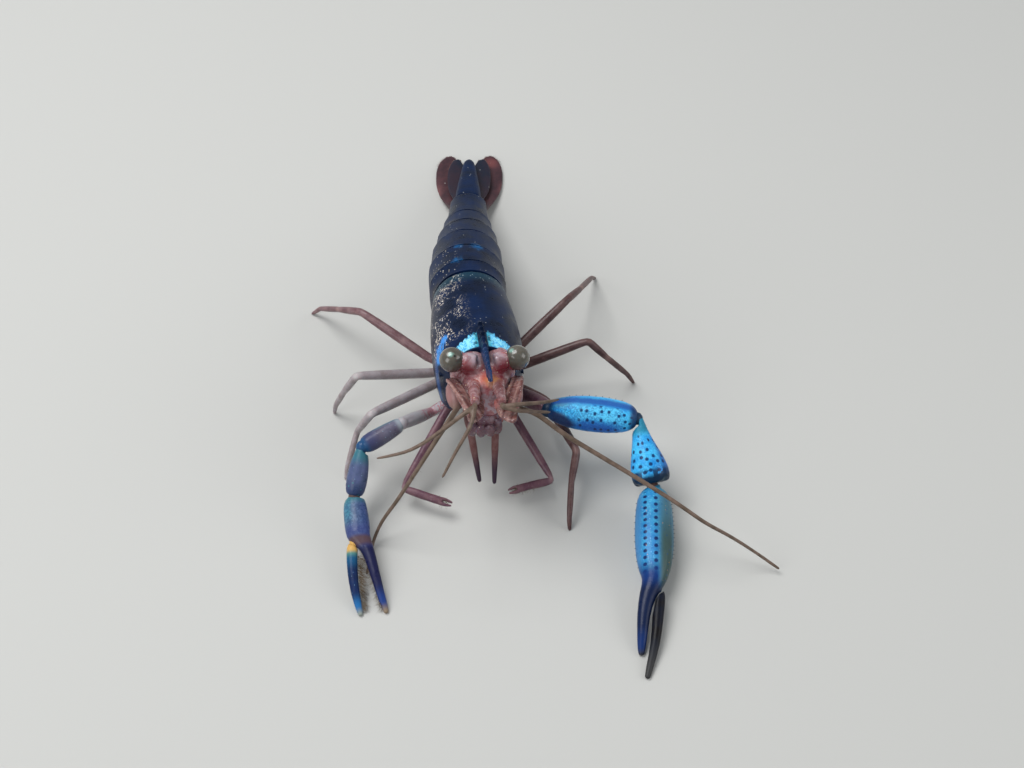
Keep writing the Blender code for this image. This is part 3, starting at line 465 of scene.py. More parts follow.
# The blade thins to 55 % of its thickness at its tip, and its root is sunk in the shell
carapace = finer_copy("carapace", "carapace_shell", rounds=2, crease=0.5)
blade = finer_copy("rostrum", "rostrum_blade", rounds=1, crease=0.4)
middle = ORBIT.x * MM
for vertex in blade.data.vertices:
    ahead = -(vertex.co * 1000 - ORBIT).dot(ALONG_BACK)
    if ahead < 0.5:
        vertex.co += ALONG_BACK * 0.9 * MM
    vertex.co.x = middle + (vertex.co.x - middle) * (1 - 0.45 * min(max(ahead / BLADE_LENGTH, 0), 1))
carapace = joined("carapace_shell", [carapace, blade], 0.075, 3)
dress(carapace, navy_shell.material, "shell", "carapace", "rostrum")


# Abdomen and telson.
# Six rings of the same shell, each with rounded side plates, lie one behind the other over dark
# soft folds, and end in a narrow wedge over the thick root of the tail fan.
FOLD_WIDTH, FOLD_AHEAD = 0.93, 1.0
fold_skin = Skin("Ring fold", (0.006, 0.012, 0.03), rough=0.45, cloud=0.8)
fold_skin.lay((0.012, 0.016, 0.04), fold_skin.cloud, 0.7)


def middle_of(node):
    """Middle of a node's box, in metres."""
    low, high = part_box(node)
    return (Vector(low) + Vector(high)) / 2


for number in range(1, 7):
    node = f"abdomen_{number}"
    fold = finer_copy(node, f"abdomen_fold_{number}", rounds=1, crease=0.75)
    centre = middle_of(node)
    forward = (middle_of(f"abdomen_{number - 1}" if number > 1 else "carapace") - centre).normalized()
    for vertex in fold.data.vertices:
        offset = vertex.co - centre
        ahead = forward * offset.dot(forward)
        vertex.co = centre + ahead + (offset - ahead) * FOLD_WIDTH + forward * FOLD_AHEAD * MM
    dress(fold, fold_skin.material, "shell")
for number in range(1, 7):
    ring = finer_copy(f"abdomen_{number}", f"abdomen_ring_{number}", rounds=3, crease=0.75)
    dress(ring, navy_shell.material, "shell", f"abdomen_{number}")
telson = finer_copy("telson", "telson_wedge", rounds=3, crease=0.3)
dress(telson, navy_shell.material, "shell", "telson")


def ball(name, centre, radii, rings=16):
    """A rounded body, in millimetres, with its mesh in place."""
    bpy.ops.object.select_all(action="DESELECT")
    bpy.ops.mesh.primitive_uv_sphere_add(segments=2 * rings, ring_count=rings, radius=MM,
                                         location=Vector(centre) * MM)
    made = bpy.context.object
    made.name = name
    made.scale = radii
    bpy.ops.object.transform_apply(location=True, rotation=True, scale=True)
    bpy.ops.object.shade_smooth()
    return made


lumps = [ball("tail_lump", centre, radii) for centre, radii in (
    ((-3.4, 30.7, 3.8), (1.75, 1.6, 1.4)),
    ((-2.0, 30.9, 2.6), (1.15, 1.7, 0.85)),
    ((-5.0, 31.1, 2.6), (1.15, 1.7, 0.85)))]
dress(joined("tail_root", lumps, 0.12, 6), navy_shell.material, "shell")


# Tail fan.
# Two pairs of thin blades, dark wine with reddish edges, the inner pair as dark as the wedge
# between them. Fine bristles fringe their rear edges, which are drawn in a little to leave room.

THIRDS = (0, 2.094, 4.189)
UV_PLACE, UV_SIZE = 0.009, 0.0008


def bristles(name, rows, skin, slot):
    """Joined fine three-sided bristles from (root, way, length, radius) rows in millimetres."""
    mesh = bmesh.new()
    layer = mesh.loops.layers.uv.new("OFBake")
    for root, way, length, radius in rows:
        way = Vector(way).normalized()
        aside = way.orthogonal().normalized()
        third = way.cross(aside)
        rings = []
        for share, thin in ((0, 1), (0.5, 0.7), (1, 0.15)):
            centre = Vector(root) + way * length * share - Vector((0, 0, 0.12 * length * share ** 2))
            centre.z = max(centre.z, 2 * radius)
            rings.append([mesh.verts.new((centre + (aside * math.cos(turn) + third * math.sin(turn))
                                          * radius * thin) * MM) for turn in THIRDS])
        faces = [mesh.faces.new((low[k], low[(k + 1) % 3], high[(k + 1) % 3], high[k]))
                 for low, high in zip(rings, rings[1:]) for k in range(3)]
        faces += [mesh.faces.new(rings[0][::-1]), mesh.faces.new(rings[-1])]
        for face in faces:
            face.smooth = True
            for corner in face.loops:
                offset = corner.vert.co * 1000 - Vector(root)
                corner[layer].uv = (0.5 + UV_PLACE * root[0] + UV_SIZE * offset.x,
                                    0.5 + UV_PLACE * root[1] + UV_SIZE * offset.y)
    bmesh.ops.recalc_face_normals(mesh, faces=mesh.faces)
    data = bpy.data.meshes.new(name)
    mesh.to_mesh(data)
    mesh.free()
    piece = bpy.data.objects.new(name, data)
    bpy.context.scene.collection.objects.link(piece)
    dress(piece, skin.material, slot)


def nearest(piece, spot):
    """Point of a piece's surface nearest to a spot, in millimetres, and the surface's direction."""
    found = piece.closest_point_on_mesh(Vector(spot) * MM)
    return found[1] * 1000, found[2]


random.seed(4)
DRAWN_IN, FRINGE_HAIRS = 0.14, 60
fan_skin = Skin("Fan blade", (0.04, 0.02, 0.026), rough=0.42, shine=0.25, cloud=2)
fan_skin.lay((0.09, 0.035, 0.042), fan_skin.cloud, 0.8)
fan_skin.lay((0.24, 0.1, 0.1), fan_skin.near((-9.2, 37.5, 0.5), 1.8, 1.2, 1.8, 1.5), 0.85)
fan_skin.lay((0.24, 0.1, 0.1), fan_skin.near((3.9, 36.8, 0.5), 1.8, 1.2, 1.8, 1.5), 0.85)
fan_skin.lay((0.2, 0.06, 0.06), fan_skin.near((0.9, 43.5, 0.5), 1.0, 0.8, 1.2, 1), 0.7)
fan_skin.lay((0.5, 0.5, 0.48), fan_skin.spots(0.9, 0.08, 0.25), 0.7)
inner_skin = Skin("Inner fan blade", (0.008, 0.012, 0.028), rough=0.42, shine=0.3, cloud=3)
inner_skin.lay((0.03, 0.014, 0.024), inner_skin.cloud, 0.8)
inner_skin.lay((0.5, 0.5, 0.48), inner_skin.spots(0.9, 0.08, 0.25), 0.7)
fringe = Skin("Fringe", (0.12, 0.05, 0.045), rough=0.5)
fringe.lay((0.2, 0.1, 0.08), fringe.cloud)
for label in ("inner_left", "inner_right", "outer_left", "outer_right"):
    blade = finer_copy(f"uropod_{label}", f"fan_blade_{label}", rounds=3, crease=0.2)
    skin = inner_skin if label.startswith("inner") else fan_skin
    dress(blade, skin.material, "tail_fan", f"uropod_{label}")
    rear = max(vertex.co.y for vertex in blade.data.vertices)
    for vertex in blade.data.vertices:
        vertex.co.y -= DRAWN_IN * max(0, vertex.co.y - (rear - 3 * MM))
    blade.data.update()
    bpy.context.view_layer.update()
    points = [vertex.co * 1000 for vertex in blade.data.vertices]
    rear = max(point.y for point in points)
    centre = sum(point.x for point in points) / len(points)
    hairs = []
    for k in range(FRINGE_HAIRS):
        turn = math.radians(-66 + 132 * k / (FRINGE_HAIRS - 1))
        root, normal = nearest(blade, (centre + 4 * math.sin(turn), rear - 3.2 + 5 * math.cos(turn), 0.7))
        way = (math.sin(turn) + random.uniform(-0.1, 0.1), math.cos(turn), random.uniform(-0.02, 0.05))
        hairs.append((root - Vector(way) * 0.1, way, random.uniform(0.32, 0.45), 0.03))
    bristles(f"fan_fringe_{label}", hairs, fringe, "tail_fan")


# Chest and swimming legs.
# Under the shell the chest is pale lilac, and each of the first five rings of the abdomen
# carries a pair of thin leaves that lie back along the belly.
chest_skin = Skin("Chest", (0.3, 0.25, 0.3), rough=0.42, cloud=2, glow=0.1)
chest_skin.lay((0.17, 0.1, 0.15), chest_skin.cloud, 0.7)
chest = finer_copy("thorax", "chest", rounds=2, crease=0.5)
dress(chest, chest_skin.material, "underside", "thorax")
leaf_skin = Skin("Leaf", (0.17, 0.14, 0.22), rough=0.42, cloud=1.5)
leaf_skin.lay((0.08, 0.05, 0.1), leaf_skin.cloud, 0.8)
for number in range(1, 6):
    for label in ("left", "right"):
        node = f"pleopod_{number}_{label}"
        leaf = finer_copy(node, f"swimming_leg_{number}_{label}", rounds=2, crease=0.2)
        dress(leaf, leaf_skin.material, "swimmeret", node)


# Eyes.
# Olive-grey globes of fine facets under a clear wet layer, each held in the cup at the end of its
# stalk. Each globe has a dark point that looks up, and beside it a pale teal spot that is partly a painted
# highlight.
EYE_CENTRES = {"right": Vector((-9.46, -13.55, 20.03)), "left": Vector((-1.9, -13.7, 19.57))}
EYE_RADIUS = 1.48
eye_skin = Skin("Eye", (0.078, 0.07, 0.056), rough=0.22, shine=0.4, coat=0.7, pits=0.07, cloud=1.5,
                depth=0.005, glow=0.1)
eye_skin.lay((0.14, 0.125, 0.098), eye_skin.cloud, 0.6)
for underside in ((-9.6, -14.7, 18.9), (-1.8, -14.8, 18.5)):
    eye_skin.lay((0.1, 0.05, 0.07), eye_skin.near(underside, 1.0, 0.7, 0.5), 0.7)
# Painted highlight: a pale teal glint on each globe, partly the eye's own teal colour.
for glint, pupil in (((-9.6, -13.95, 21.45), (-9.15, -14.2, 21.35)),
                     ((-2.6, -13.65, 20.9), (-2.25, -14.0, 20.95))):
    eye_skin.lay((0.3, 0.58, 0.5), eye_skin.near(glint, 0.22, 0.26, 0.35, 0.4), 0.85)
    eye_skin.lay((0.006, 0.012, 0.012), eye_skin.near(pupil, 0.13, 0.07))
for label, centre in EYE_CENTRES.items():
    globe = ball(f"eye_globe_{label}", centre, [EYE_RADIUS] * 3, 28)
    dress(globe, eye_skin.material, "eye", f"eye_{label}")


# Face, mouth and feelers.
# Between the eyes wet flesh runs without a seam into the two short eyestalks, the cheeks and the
# chin, whitish pink with red marks. Salmon stems, scales with ribs painted in shade and highlight,
# and long tan whips grow from it above a mouth of purple leaves, and two slim palps hang down from there.
WET = dict(rough=0.26, shine=0.3, coat=0.3, pits=0.3, cloud=0.9, glow=0.15)
FACE_MARKS = (
    ((-6.8, -13.8, 20.4), 1.1, (0.46, 0.38, 0.42)), ((-4.3, -14.0, 20.3), 1.0, (0.42, 0.32, 0.36)),
    ((-8.1, -14.9, 19.3), 1.0, (0.2, 0.018, 0.03)), ((-3.6, -15.0, 19.1), 1.15, (0.24, 0.015, 0.035)),
    ((-8.0, -13.0, 20.9), 0.45, (0.3, 0.05, 0.06)), ((-3.3, -13.2, 20.6), 0.6, (0.36, 0.04, 0.05)),
    ((-6.1, -15.9, 18.9), 0.9, (0.5, 0.12, 0.08)), ((-5.0, -16.0, 18.6), 0.75, (0.55, 0.25, 0.09)),
    ((-5.0, -18.9, 17.4), 0.9, (0.42, 0.1, 0.09)), ((-1.2, -18.0, 16.6), 1.0, (0.45, 0.07, 0.05)),
    ((-7.4, -18.6, 14.6), 1.8, (0.12, 0.07, 0.11)), ((-3.6, -18.2, 14.2), 1.3, (0.12, 0.07, 0.12)))


def paint_face(skin, strength=0.85):
    """Lay the marks of the face, which run on from piece to piece, its cream dots, and white dots painted as
    glints.
    """
    for place, reach, colour in FACE_MARKS:
        skin.lay(colour, skin.near(place, reach, 0.55, 0.9, 0.8), strength)
    lilac = skin.both(skin.near((-5.9, -17.0, 15.6), 2.6, 1.2), skin.rise(skin.cloud, 400, 800))
    skin.lay((0.32, 0.28, 0.34), lilac, 0.6)
    skin.lay((0.1, 0.05, 0.075), skin.near((-6.2, -18.4, 11.6), 1.9, 1.0, 0.8), 0.75)
    skin.lay((0.13, 0.025, 0.03), skin.squiggles(1.1, 0.05, 0.6), 0.35)
    skin.lay((0.75, 0.62, 0.45), skin.spots(0.55, 0.13, 0.4), 0.8)
    # Painted highlights: white dots as glints of light on the wet skin.
    skin.lay((0.8, 0.8, 0.82), skin.spots(0.4, 0.1, 0.3), 0.8)


face_skin = Skin("Face", (0.26, 0.065, 0.075), **WET)
face_skin.lay((0.42, 0.27, 0.29), face_skin.cloud, 0.85)
paint_face(face_skin)
lumps = [finer_copy("head", "face", rounds=2)]
for label, centre in EYE_CENTRES.items():
    turn = 1 if label == "left" else -1
    lumps += [
        finer_copy(f"eyestalk_{label}", f"stalk_{label}", rounds=2, swell=0.1),
        ball(f"cup_{label}", centre + Vector((-0.32 * turn, 0.08, -0.22)), [EYE_RADIUS - 0.1] * 3),
        ball(f"pad_{label}", (-5.6 + 1.5 * turn, -13.2, 18.8), (1.65, 1.8, 1.35)),
        ball(f"cheek_{label}", (-5.9 + 2.6 * turn, -12.9, 16.7), (1.3, 1.5, 1.9))]
lumps.append(ball("chin", (-5.9, -16.2, 12.7), (2.3, 1.9, 1.7)))
face = joined("face", lumps, 0.08, 20)
dress(face, face_skin.material, "face", "head", "eyestalk_left", "eyestalk_right")

mouth_skin = Skin("Mouth", (0.09, 0.035, 0.05), **WET)
mouth_skin.lay((0.22, 0.1, 0.1), mouth_skin.cloud, 0.7)
paint_face(mouth_skin, 0.6)
lumps = [finer_copy("mouthparts", "mouth", rounds=2)]
for turn in (1, -1):
    lumps += [ball("inner_leaf", (-6.2 + 0.55 * turn, -18.7, 12.8), (0.6, 0.4, 1.1)),
              ball("outer_leaf", (-6.2 + 1.5 * turn, -17.8, 12.4), (0.6, 0.5, 1.45))]
dress(joined("mouth", lumps, 0.08, 14), mouth_skin.material, "mouth", "mouthparts")

palp_skin = Skin("Palp", (0.13, 0.045, 0.045), rough=0.36, cloud=1.0)
palp_skin.lay((0.24, 0.14, 0.13), palp_skin.cloud, 0.6)
for tip in ((-5.25, -18.4, 2.0), (-7.0, -17.9, 2.0)):
    palp_skin.lay((0.035, 0.016, 0.035), palp_skin.near(tip, 3.2, 2.2, 0.5))

stem_skin = Skin("Feeler stem", (0.24, 0.085, 0.085), **WET)
stem_skin.lay((0.36, 0.24, 0.25), stem_skin.cloud, 0.85)
paint_face(stem_skin)
GROOVE_SHADE, RIB_HIGHLIGHT = (0.05, 0.02, 0.022), (0.44, 0.28, 0.25)
scale_skin = Skin("Scale", (0.17, 0.07, 0.062), **WET)
scale_skin.lay((0.34, 0.2, 0.185), scale_skin.cloud, 0.8)
for start, end in (((-9.8, -14.2, 18.2), (-7.2, -21.8, 18.8)), ((-1.7, -14.4, 17.8), (-4.3, -22.0, 18.4))):
    on_blade = scale_skin.limb(start, end)
    near_blade = scale_skin.rise(on_blade["Away"], 2.6, 2.3)
    # Painted relief: dark stripes as painted shade in the grooves, pale stripes as painted highlight on the
    # ribs.
    for offset, colour in ((-0.75, GROOVE_SHADE), (0.3, GROOVE_SHADE), (-0.35, RIB_HIGHLIGHT), (0.65, RIB_HIGHLIGHT)):
        stripe = scale_skin.both(scale_skin.rise(on_blade["Side"], offset - 0.2, offset - 0.02), near_blade,
                                 scale_skin.rise(on_blade["Side"], offset + 0.2, offset + 0.02))
        scale_skin.lay(colour, stripe, 0.6)
paint_face(scale_skin, 0.7)
whip_skin = Skin("Whip", (0.1, 0.07, 0.05), rough=0.42, cloud=0.9)
whip_skin.lay((0.19, 0.13, 0.1), whip_skin.cloud, 0.8)
for place in ((-9.4, -14.9, 15.9), (-2.4, -15.1, 15.5)):
    whip_skin.lay((0.3, 0.15, 0.15), whip_skin.near(place, 2.4, 0.7, 0.8), 0.9)
for label in ("left", "right"):
    stem = finer_copy(f"antennule_{label}", f"feeler_stem_{label}", 1, cell=0.06, smooth=3, swell=0.04)
    dress(stem, stem_skin.material, "peduncle", f"antennule_{label}")
    node = f"antennule_whiskers_{label}"
    threads = finer_copy(node, f"feeler_threads_{label}", 1, cell=0.05, smooth=8, swell=0.03)
    dress(threads, whip_skin.material, "whisker", node)
    whip = finer_copy(f"antenna_{label}", f"whip_{label}", 1, cell=0.06, smooth=3)
    dress(whip, whip_skin.material, "whisker", f"antenna_{label}")
    scale = finer_copy(f"antenna_scale_{label}", f"scale_{label}", 1, cell=0.06, smooth=3)
    dress(scale, scale_skin.material, "scale", f"antenna_scale_{label}")
    palp = finer_copy(f"maxilliped_{label}", f"palp_{label}", 1, cell=0.07, smooth=3, swell=0.03)
    dress(palp, palp_skin.material, "mouth", f"maxilliped_{label}")


# Walking legs.
# Slim jointed legs, dark red-brown on the left, whitish lilac and pink on the right, that end in
# small points on the table. The first pair is violet red and ends in small pincers.

def leg_skin(name, colour, clouds, joint_colour, joints):
    """Skin of slim legs, with clouds, fine lines and paler joints."""
    skin = Skin(name, colour, rough=0.36, shine=0.35, cloud=1.4, glow=0.08)
    skin.lay(clouds, skin.cloud, 0.7)
    skin.lay(joint_colour, skin.squiggles(0.4, 0.03, 0.4), 0.18)
    for place in joints:
        skin.lay(joint_colour, skin.near(place, 0.5, 0.4, 0.5), 0.7)
    return skin


KNEES = {"3_left": (5.1, -17.1, 5.4), "4_left": (11.0, -3.2, 6.4), "5_left": (9.6, 9.9, 6.0),
         "3_right": (-19.5, -11.3, 9.0), "4_right": (-21.0, -4.9, 9.0), "5_right": (-22.8, 10.6, 5.2)}
red_leg = leg_skin("Red leg", (0.06, 0.026, 0.028), (0.15, 0.085, 0.08), (0.26, 0.15, 0.13),
                   [KNEES[key] for key in ("3_left", "4_left", "5_left", "5_right")])
pale_leg = leg_skin("Pale leg", (0.36, 0.32, 0.34), (0.23, 0.18, 0.18), (0.5, 0.46, 0.46),
                    [KNEES["3_right"], KNEES["4_right"]])
pink_leg = leg_skin("Pink leg", (0.13, 0.06, 0.07), (0.26, 0.16, 0.165), (0.36, 0.24, 0.22),
                    [KNEES["5_right"]])
first_skin = leg_skin("First leg", (0.1, 0.04, 0.065), (0.19, 0.1, 0.115), (0.36, 0.24, 0.26),
                      [(-16.5, -18.2, 2.6), (1.9, -19.2, 2.6)])
for label in ("left", "right"):
    leg = finer_copy(f"leg_1_{label}", f"first_leg_{label}", 1, cell=0.06, smooth=3, swell=0.03)
    dress(leg, first_skin.material, "first_leg", f"leg_1_{label}")
    for number in (3, 4, 5):
        pale = label == "right" and number < 5
        skin = pale_leg if pale else pink_leg if label == "right" else red_leg
        node = f"leg_{number}_{label}"
        leg = finer_copy(node, f"walking_leg_{number}_{label}", 1, cell=0.09, smooth=3)
        dress(leg, skin.material, "leg_pale" if pale else "leg_red", node)


# Great claw.
# The left arm of the second pair: bright azure with a web of darker blue and navy dots, two rows
# of them down the hand, and dark fingers. Small spines stand in rows on the hand and the arm, and
# soft dark skin closes each joint.

def azure_skin(name, light=1.0):
    """Azure shell with a fine web of darker blue and pale grains."""
    skin = Skin(name, (0.025 * light, 0.3 * light, 0.74 * light), rough=0.33, shine=0.2, cloud=2.2)
    skin.lay((0.07 * light, 0.56 * light, 0.95 * light), skin.cloud, 0.95)
    skin.lay((0.01, 0.16, 0.55), skin.squiggles(0.3, 0.05, 0.8), 0.4)
    skin.lay((0.3, 0.78, 1.0), skin.spots(0.2, 0.24, 0.4), 0.35)
    return skin


NAVY = (0.006, 0.025, 0.11)
joint_skin = Skin("Joint skin", (0.05, 0.03, 0.032), rough=0.4, cloud=0.8)
joint_skin.lay((0.2, 0.12, 0.1), joint_skin.cloud, 0.6)
dark_joint = Skin("Dark joint skin", (0.008, 0.03, 0.07), rough=0.4, cloud=0.8)

# Joints and tip of the great claw
ELBOW, WRIST, KNUCKLE = (2.1, -12.6, 8.3), (12.7, -15.2, 8.2), (13.8, -22.6, 3.6)
HAND_END, TIP = (11.6, -35.4, 2.3), (8.9, -46.2, 0.3)

arm_skin = azure_skin("Great claw arm")
lay, rise, both = arm_skin.lay, arm_skin.rise, arm_skin.both
arm = arm_skin.limb(ELBOW, WRIST)
along, low = arm["Along"], arm["Side"]
lay((0.14, 0.68, 0.97), both(rise(along, 2.6, 4.6), rise(along, 9.8, 8.4), rise(low, 0.2, 0.6),
                             rise(low, 2.3, 1.5)), 0.6)
lay((0.03, 0.24, 0.34), both(rise(along, 3.4, 1.6), rise(low, 0.9, 0.4)), 0.7)
lay((0.006, 0.08, 0.34), both(arm_skin.squiggles(0.32, 0.075, 0.75), rise(low, 0.2, 0.5),
                              rise(along, 10.0, 9.0)), 0.5)
lay((0.02, 0.07, 0.33), both(rise(low, 0.55, -0.1), rise(low, -1.3, -0.5)), 0.85)
lay((0.01, 0.07, 0.4), rise(low, 1.7, 2.3), 0.85)
lay(NAVY, both(arm_skin.freckles(arm, 3.8, 0.92, 0.19, 0.85), rise(along, 3.2, 4.2),
               rise(low, 0.2, 0.45)), 0.95)
slant = maths(arm_skin.tree, "SUBTRACT", low, maths(arm_skin.tree, "MULTIPLY", along, 0.45))
lay((0.006, 0.012, 0.07), both(rise(slant, 0.35, 0.75), rise(along, 4.4, 3.2)), 0.95)
lay((0.01, 0.04, 0.13), arm_skin.either(rise(along, 0.9, 0.3), rise(along, 9.7, 10.5)), 0.95)

wrist_skin = azure_skin("Great claw wrist")
lay, rise, both = wrist_skin.lay, wrist_skin.rise, wrist_skin.both
wrist = wrist_skin.limb(WRIST, KNUCKLE)
along = wrist["Along"]
lay((0.012, 0.1, 0.42), rise(wrist["Side"], -0.7, -1.6), 0.8)
lay(NAVY, both(wrist_skin.freckles(wrist, 3.6, 0.95, 0.21, 0.9), rise(along, 2.0, 2.4)), 0.95)
lay((0.015, 0.18, 0.26), rise(along, 2.6, 1.4), 0.85)
lay((0.006, 0.03, 0.09), both(rise(along, 6.2, 6.9), wrist_skin.squiggles(0.8, 0.32, 0.8)), 0.9)
lay((0.004, 0.02, 0.05), rise(along, 6.9, 7.6), 0.95)
lay((0.004, 0.06, 0.09), wrist_skin.near((14.7, -22.0, 4.9), 0.55, 0.3), 0.9)
lay((0.4, 0.38, 0.2), wrist_skin.line((13.3, -22.0, 5.6), (14.3, -22.5, 5.0), 0.12, 0.1), 0.9)

hand_skin = azure_skin("Great claw hand", 0.66)
lay, rise, both = hand_skin.lay, hand_skin.rise, hand_skin.both
hand = hand_skin.limb(KNUCKLE, HAND_END)
side, along = hand["Side"], hand["Along"]
lay((0.06, 0.2, 0.42), rise(side, 1.2, 2.0), 0.85)
lay((0.06, 0.16, 0.22), rise(side, 0.35, -1.25))
lay((0.045, 0.085, 0.08), both(rise(side, -0.3, -1.1), rise(along, 3.5, 8.5)), 0.95)
lay((0.03, 0.2, 0.34), rise(side, -1.8, -2.3), 0.6)
lay((0.03, 0.2, 0.32), rise(along, 1.6, 0.5), 0.7)
on_rows = both(rise(along, 1.2, 1.5), rise(hand["Height"], -0.1, 0.3))
lay(NAVY, both(hand_skin.row(hand, 0.82, 1.18, 0.21), on_rows))
lay(NAVY, both(hand_skin.row(hand, 0.93, -0.08, 0.23), on_rows))
beside_rows = hand_skin.either(both(rise(side, 0.7, 1.0), rise(side, 1.9, 1.5)), rise(side, -0.6, -0.9))
lay((0.6, 0.3, 0.1), both(hand_skin.spots(0.4, 0.13, 0.25), beside_rows), 0.75)
lay((0.01, 0.07, 0.22), both(hand_skin.freckles(hand, 4.2, 0.6, 0.13, 0.35), rise(side, -0.9, -1.2)), 0.8)
lay((0.006, 0.035, 0.17), both(rise(along, 10.0, 12.4), rise(side, -0.9, -0.1)))
lay((0.004, 0.012, 0.05), rise(along, 12.2, 14.2))
lay((0.008, 0.04, 0.2), hand_skin.near((9.2, -42.2, 0.6), 1.6, 1.0), 0.5)
lay((0.03, 0.032, 0.045), hand_skin.near((8.8, -43.4, 0.2), 0.7, 0.4), 0.9)

# The moving finger's near-black is partly its own dark colour, partly painted shade: it lies low under the
# hand.
finger_skin = Skin("Great claw finger", (0.008, 0.007, 0.008), rough=0.36, shine=0.12, cloud=1.5)
finger_skin.lay((0.005, 0.009, 0.022), finger_skin.cloud, 0.7)
finger_skin.lay((0.05, 0.05, 0.05), finger_skin.near(TIP, 3.2, 2.4), 0.8)
for label, skin, slot in (("base", first_skin, "first_leg"), ("arm", arm_skin, "claw_azure"),
                          ("wrist", wrist_skin, "claw_azure"), ("hand", hand_skin, "claw_azure"),
                          ("finger", finger_skin, "finger_dark")):
    part = finer_copy(f"claw_{label}_left", f"great_claw_{label}", 1, cell=0.09, smooth=4, swell=0.04)
    dress(part, skin.material, slot, f"claw_{label}_left")
for label, centre, radii in (("elbow", ELBOW, (0.95, 0.95, 0.95)), ("wrist", WRIST, (0.75, 0.8, 0.75)),
                             ("knuckle", (13.7, -22.4, 3.7), (0.7, 1.3, 0.8)),
                             ("finger", (12.0, -35.6, 2.1), (0.45, 0.8, 0.45))):
    soft = joint_skin if label == "knuckle" else dark_joint
    dress(ball(f"great_claw_joint_{label}", centre, radii), soft.material, "finger_dark")

spines = []
for label, start, end, way, count in (
        ("hand", (15.6, -24.6, 4.0), (15.2, -33.0, 3.0), (1, -0.3, 0.35), 15),
        ("hand", (12.0, -24.4, 3.6), (9.9, -33.5, 2.6), (-1, -0.3, 0.3), 11),
        ("arm", (4.5, -11.4, 9.6), (11.6, -13.2, 9.4), (0.2, 1, 0.6), 9)):
    for k in range(count):
        spot = Vector(start).lerp(Vector(end), (k + 0.5) / count)
        root, normal = nearest(bpy.data.objects[f"great_claw_{label}"], spot)
        spines.append((root - normal * 0.05, normal + Vector(way) * 0.3, 0.24, 0.06))
spine_skin = Skin("Spines", (0.006, 0.012, 0.04), rough=0.4)
bristles("great_claw_spines", spines, spine_skin, "finger_dark")


# Small claw.
# The right arm of the second pair, slim and iridescent: whitish at its root, blue and teal on the
# hand, with gaping dark fingers, an orange hinge and brown bristles between them. The same
# bristles stand on the first legs and their pincers.

def iridescent_skin(name, first, second, third, shine=0.22):
    """Wet-looking skin that wavers between three hues."""
    skin = Skin(name, first, rough=0.33, shine=shine, cloud=1.1)
    skin.lay(second, skin.cloud, 0.9)
    skin.lay(third, skin.near((-21.5, -20, 4), 9, 6, 22, 1.3), 0.45)
    skin.lay((0.3, 0.55, 0.75), skin.spots(0.3, 0.16, 0.3), 0.35)
    return skin


# Joints and tips of the small claw
S_ELBOW, S_WRIST, S_KNUCKLE = (-15.8, -12.3, 7.9), (-20.9, -14.7, 7.0), (-22.45, -19.5, 3.4)
S_HAND_END, S_FIXED_TIP, S_TIP = (-22.2, -25.1, 2.6), (-19.6, -34.2, 0.3), (-22.6, -34.2, 0.3)
small_arm = iridescent_skin("Small claw arm", (0.1, 0.1, 0.16), (0.16, 0.16, 0.23), (0.12, 0.09, 0.12))
lay, rise, both = small_arm.lay, small_arm.rise, small_arm.both
on_arm = small_arm.limb(S_ELBOW, S_WRIST)
along = on_arm["Along"]
lay((0.32, 0.36, 0.4), rise(along, 1.1, 0.5), 0.85)
lay((0.09, 0.2, 0.25), both(rise(on_arm["Side"], 0.2, 0.7), rise(along, 4.6, 3.0)), 0.7)
lay((0.03, 0.04, 0.12), rise(along, 2.8, 4.6), 0.8)
lay((0.012, 0.075, 0.19), rise(along, 4.7, 5.5), 0.85)

small_wrist = iridescent_skin("Small claw wrist", (0.05, 0.1, 0.2), (0.1, 0.15, 0.33), (0.08, 0.07, 0.13))
lay, rise, both = small_wrist.lay, small_wrist.rise, small_wrist.both
along = small_wrist.limb(S_WRIST, S_KNUCKLE)["Along"]
lay((0.03, 0.16, 0.2), rise(along, 2.6, 1.0), 0.85)
lay((0.012, 0.03, 0.1), rise(along, 4.0, 5.6), 0.7)
lay((0.05, 0.22, 0.24), both(small_wrist.spots(0.55, 0.2, 0.5), rise(along, 4.0, 4.8)), 0.8)

small_hand = iridescent_skin("Small claw hand", (0.06, 0.12, 0.22), (0.12, 0.24, 0.42), (0.09, 0.08, 0.14))
lay, rise, both = small_hand.lay, small_hand.rise, small_hand.both
on_hand = small_hand.limb(S_KNUCKLE, S_HAND_END)
side, along = on_hand["Side"], on_hand["Along"]
lay((0.045, 0.075, 0.24), rise(side, 0.1, -1.3), 0.75)
lay((0.045, 0.24, 0.32), both(rise(side, 0.0, 0.9), rise(along, 4.6, 2.4)), 0.65)
lay((0.02, 0.05, 0.14), small_hand.squiggles(0.45, 0.1, 0.8), 0.5)
lay((0.05, 0.2, 0.22), rise(along, 1.7, 0.3), 0.85)
lay((0.04, 0.05, 0.2), rise(along, 3.4, 5.0), 0.6)
lay((0.1, 0.05, 0.035), both(rise(along, 5.3, 5.9), rise(along, 7.2, 6.4)), 0.8)
lay((0.009, 0.01, 0.05), rise(along, 6.3, 7.4), 0.97)
lay((0.012, 0.05, 0.24), small_hand.near(S_FIXED_TIP, 2.6, 1.2), 0.8)
lay((0.26, 0.19, 0.11), small_hand.near(S_FIXED_TIP, 0.8, 0.6), 0.9)

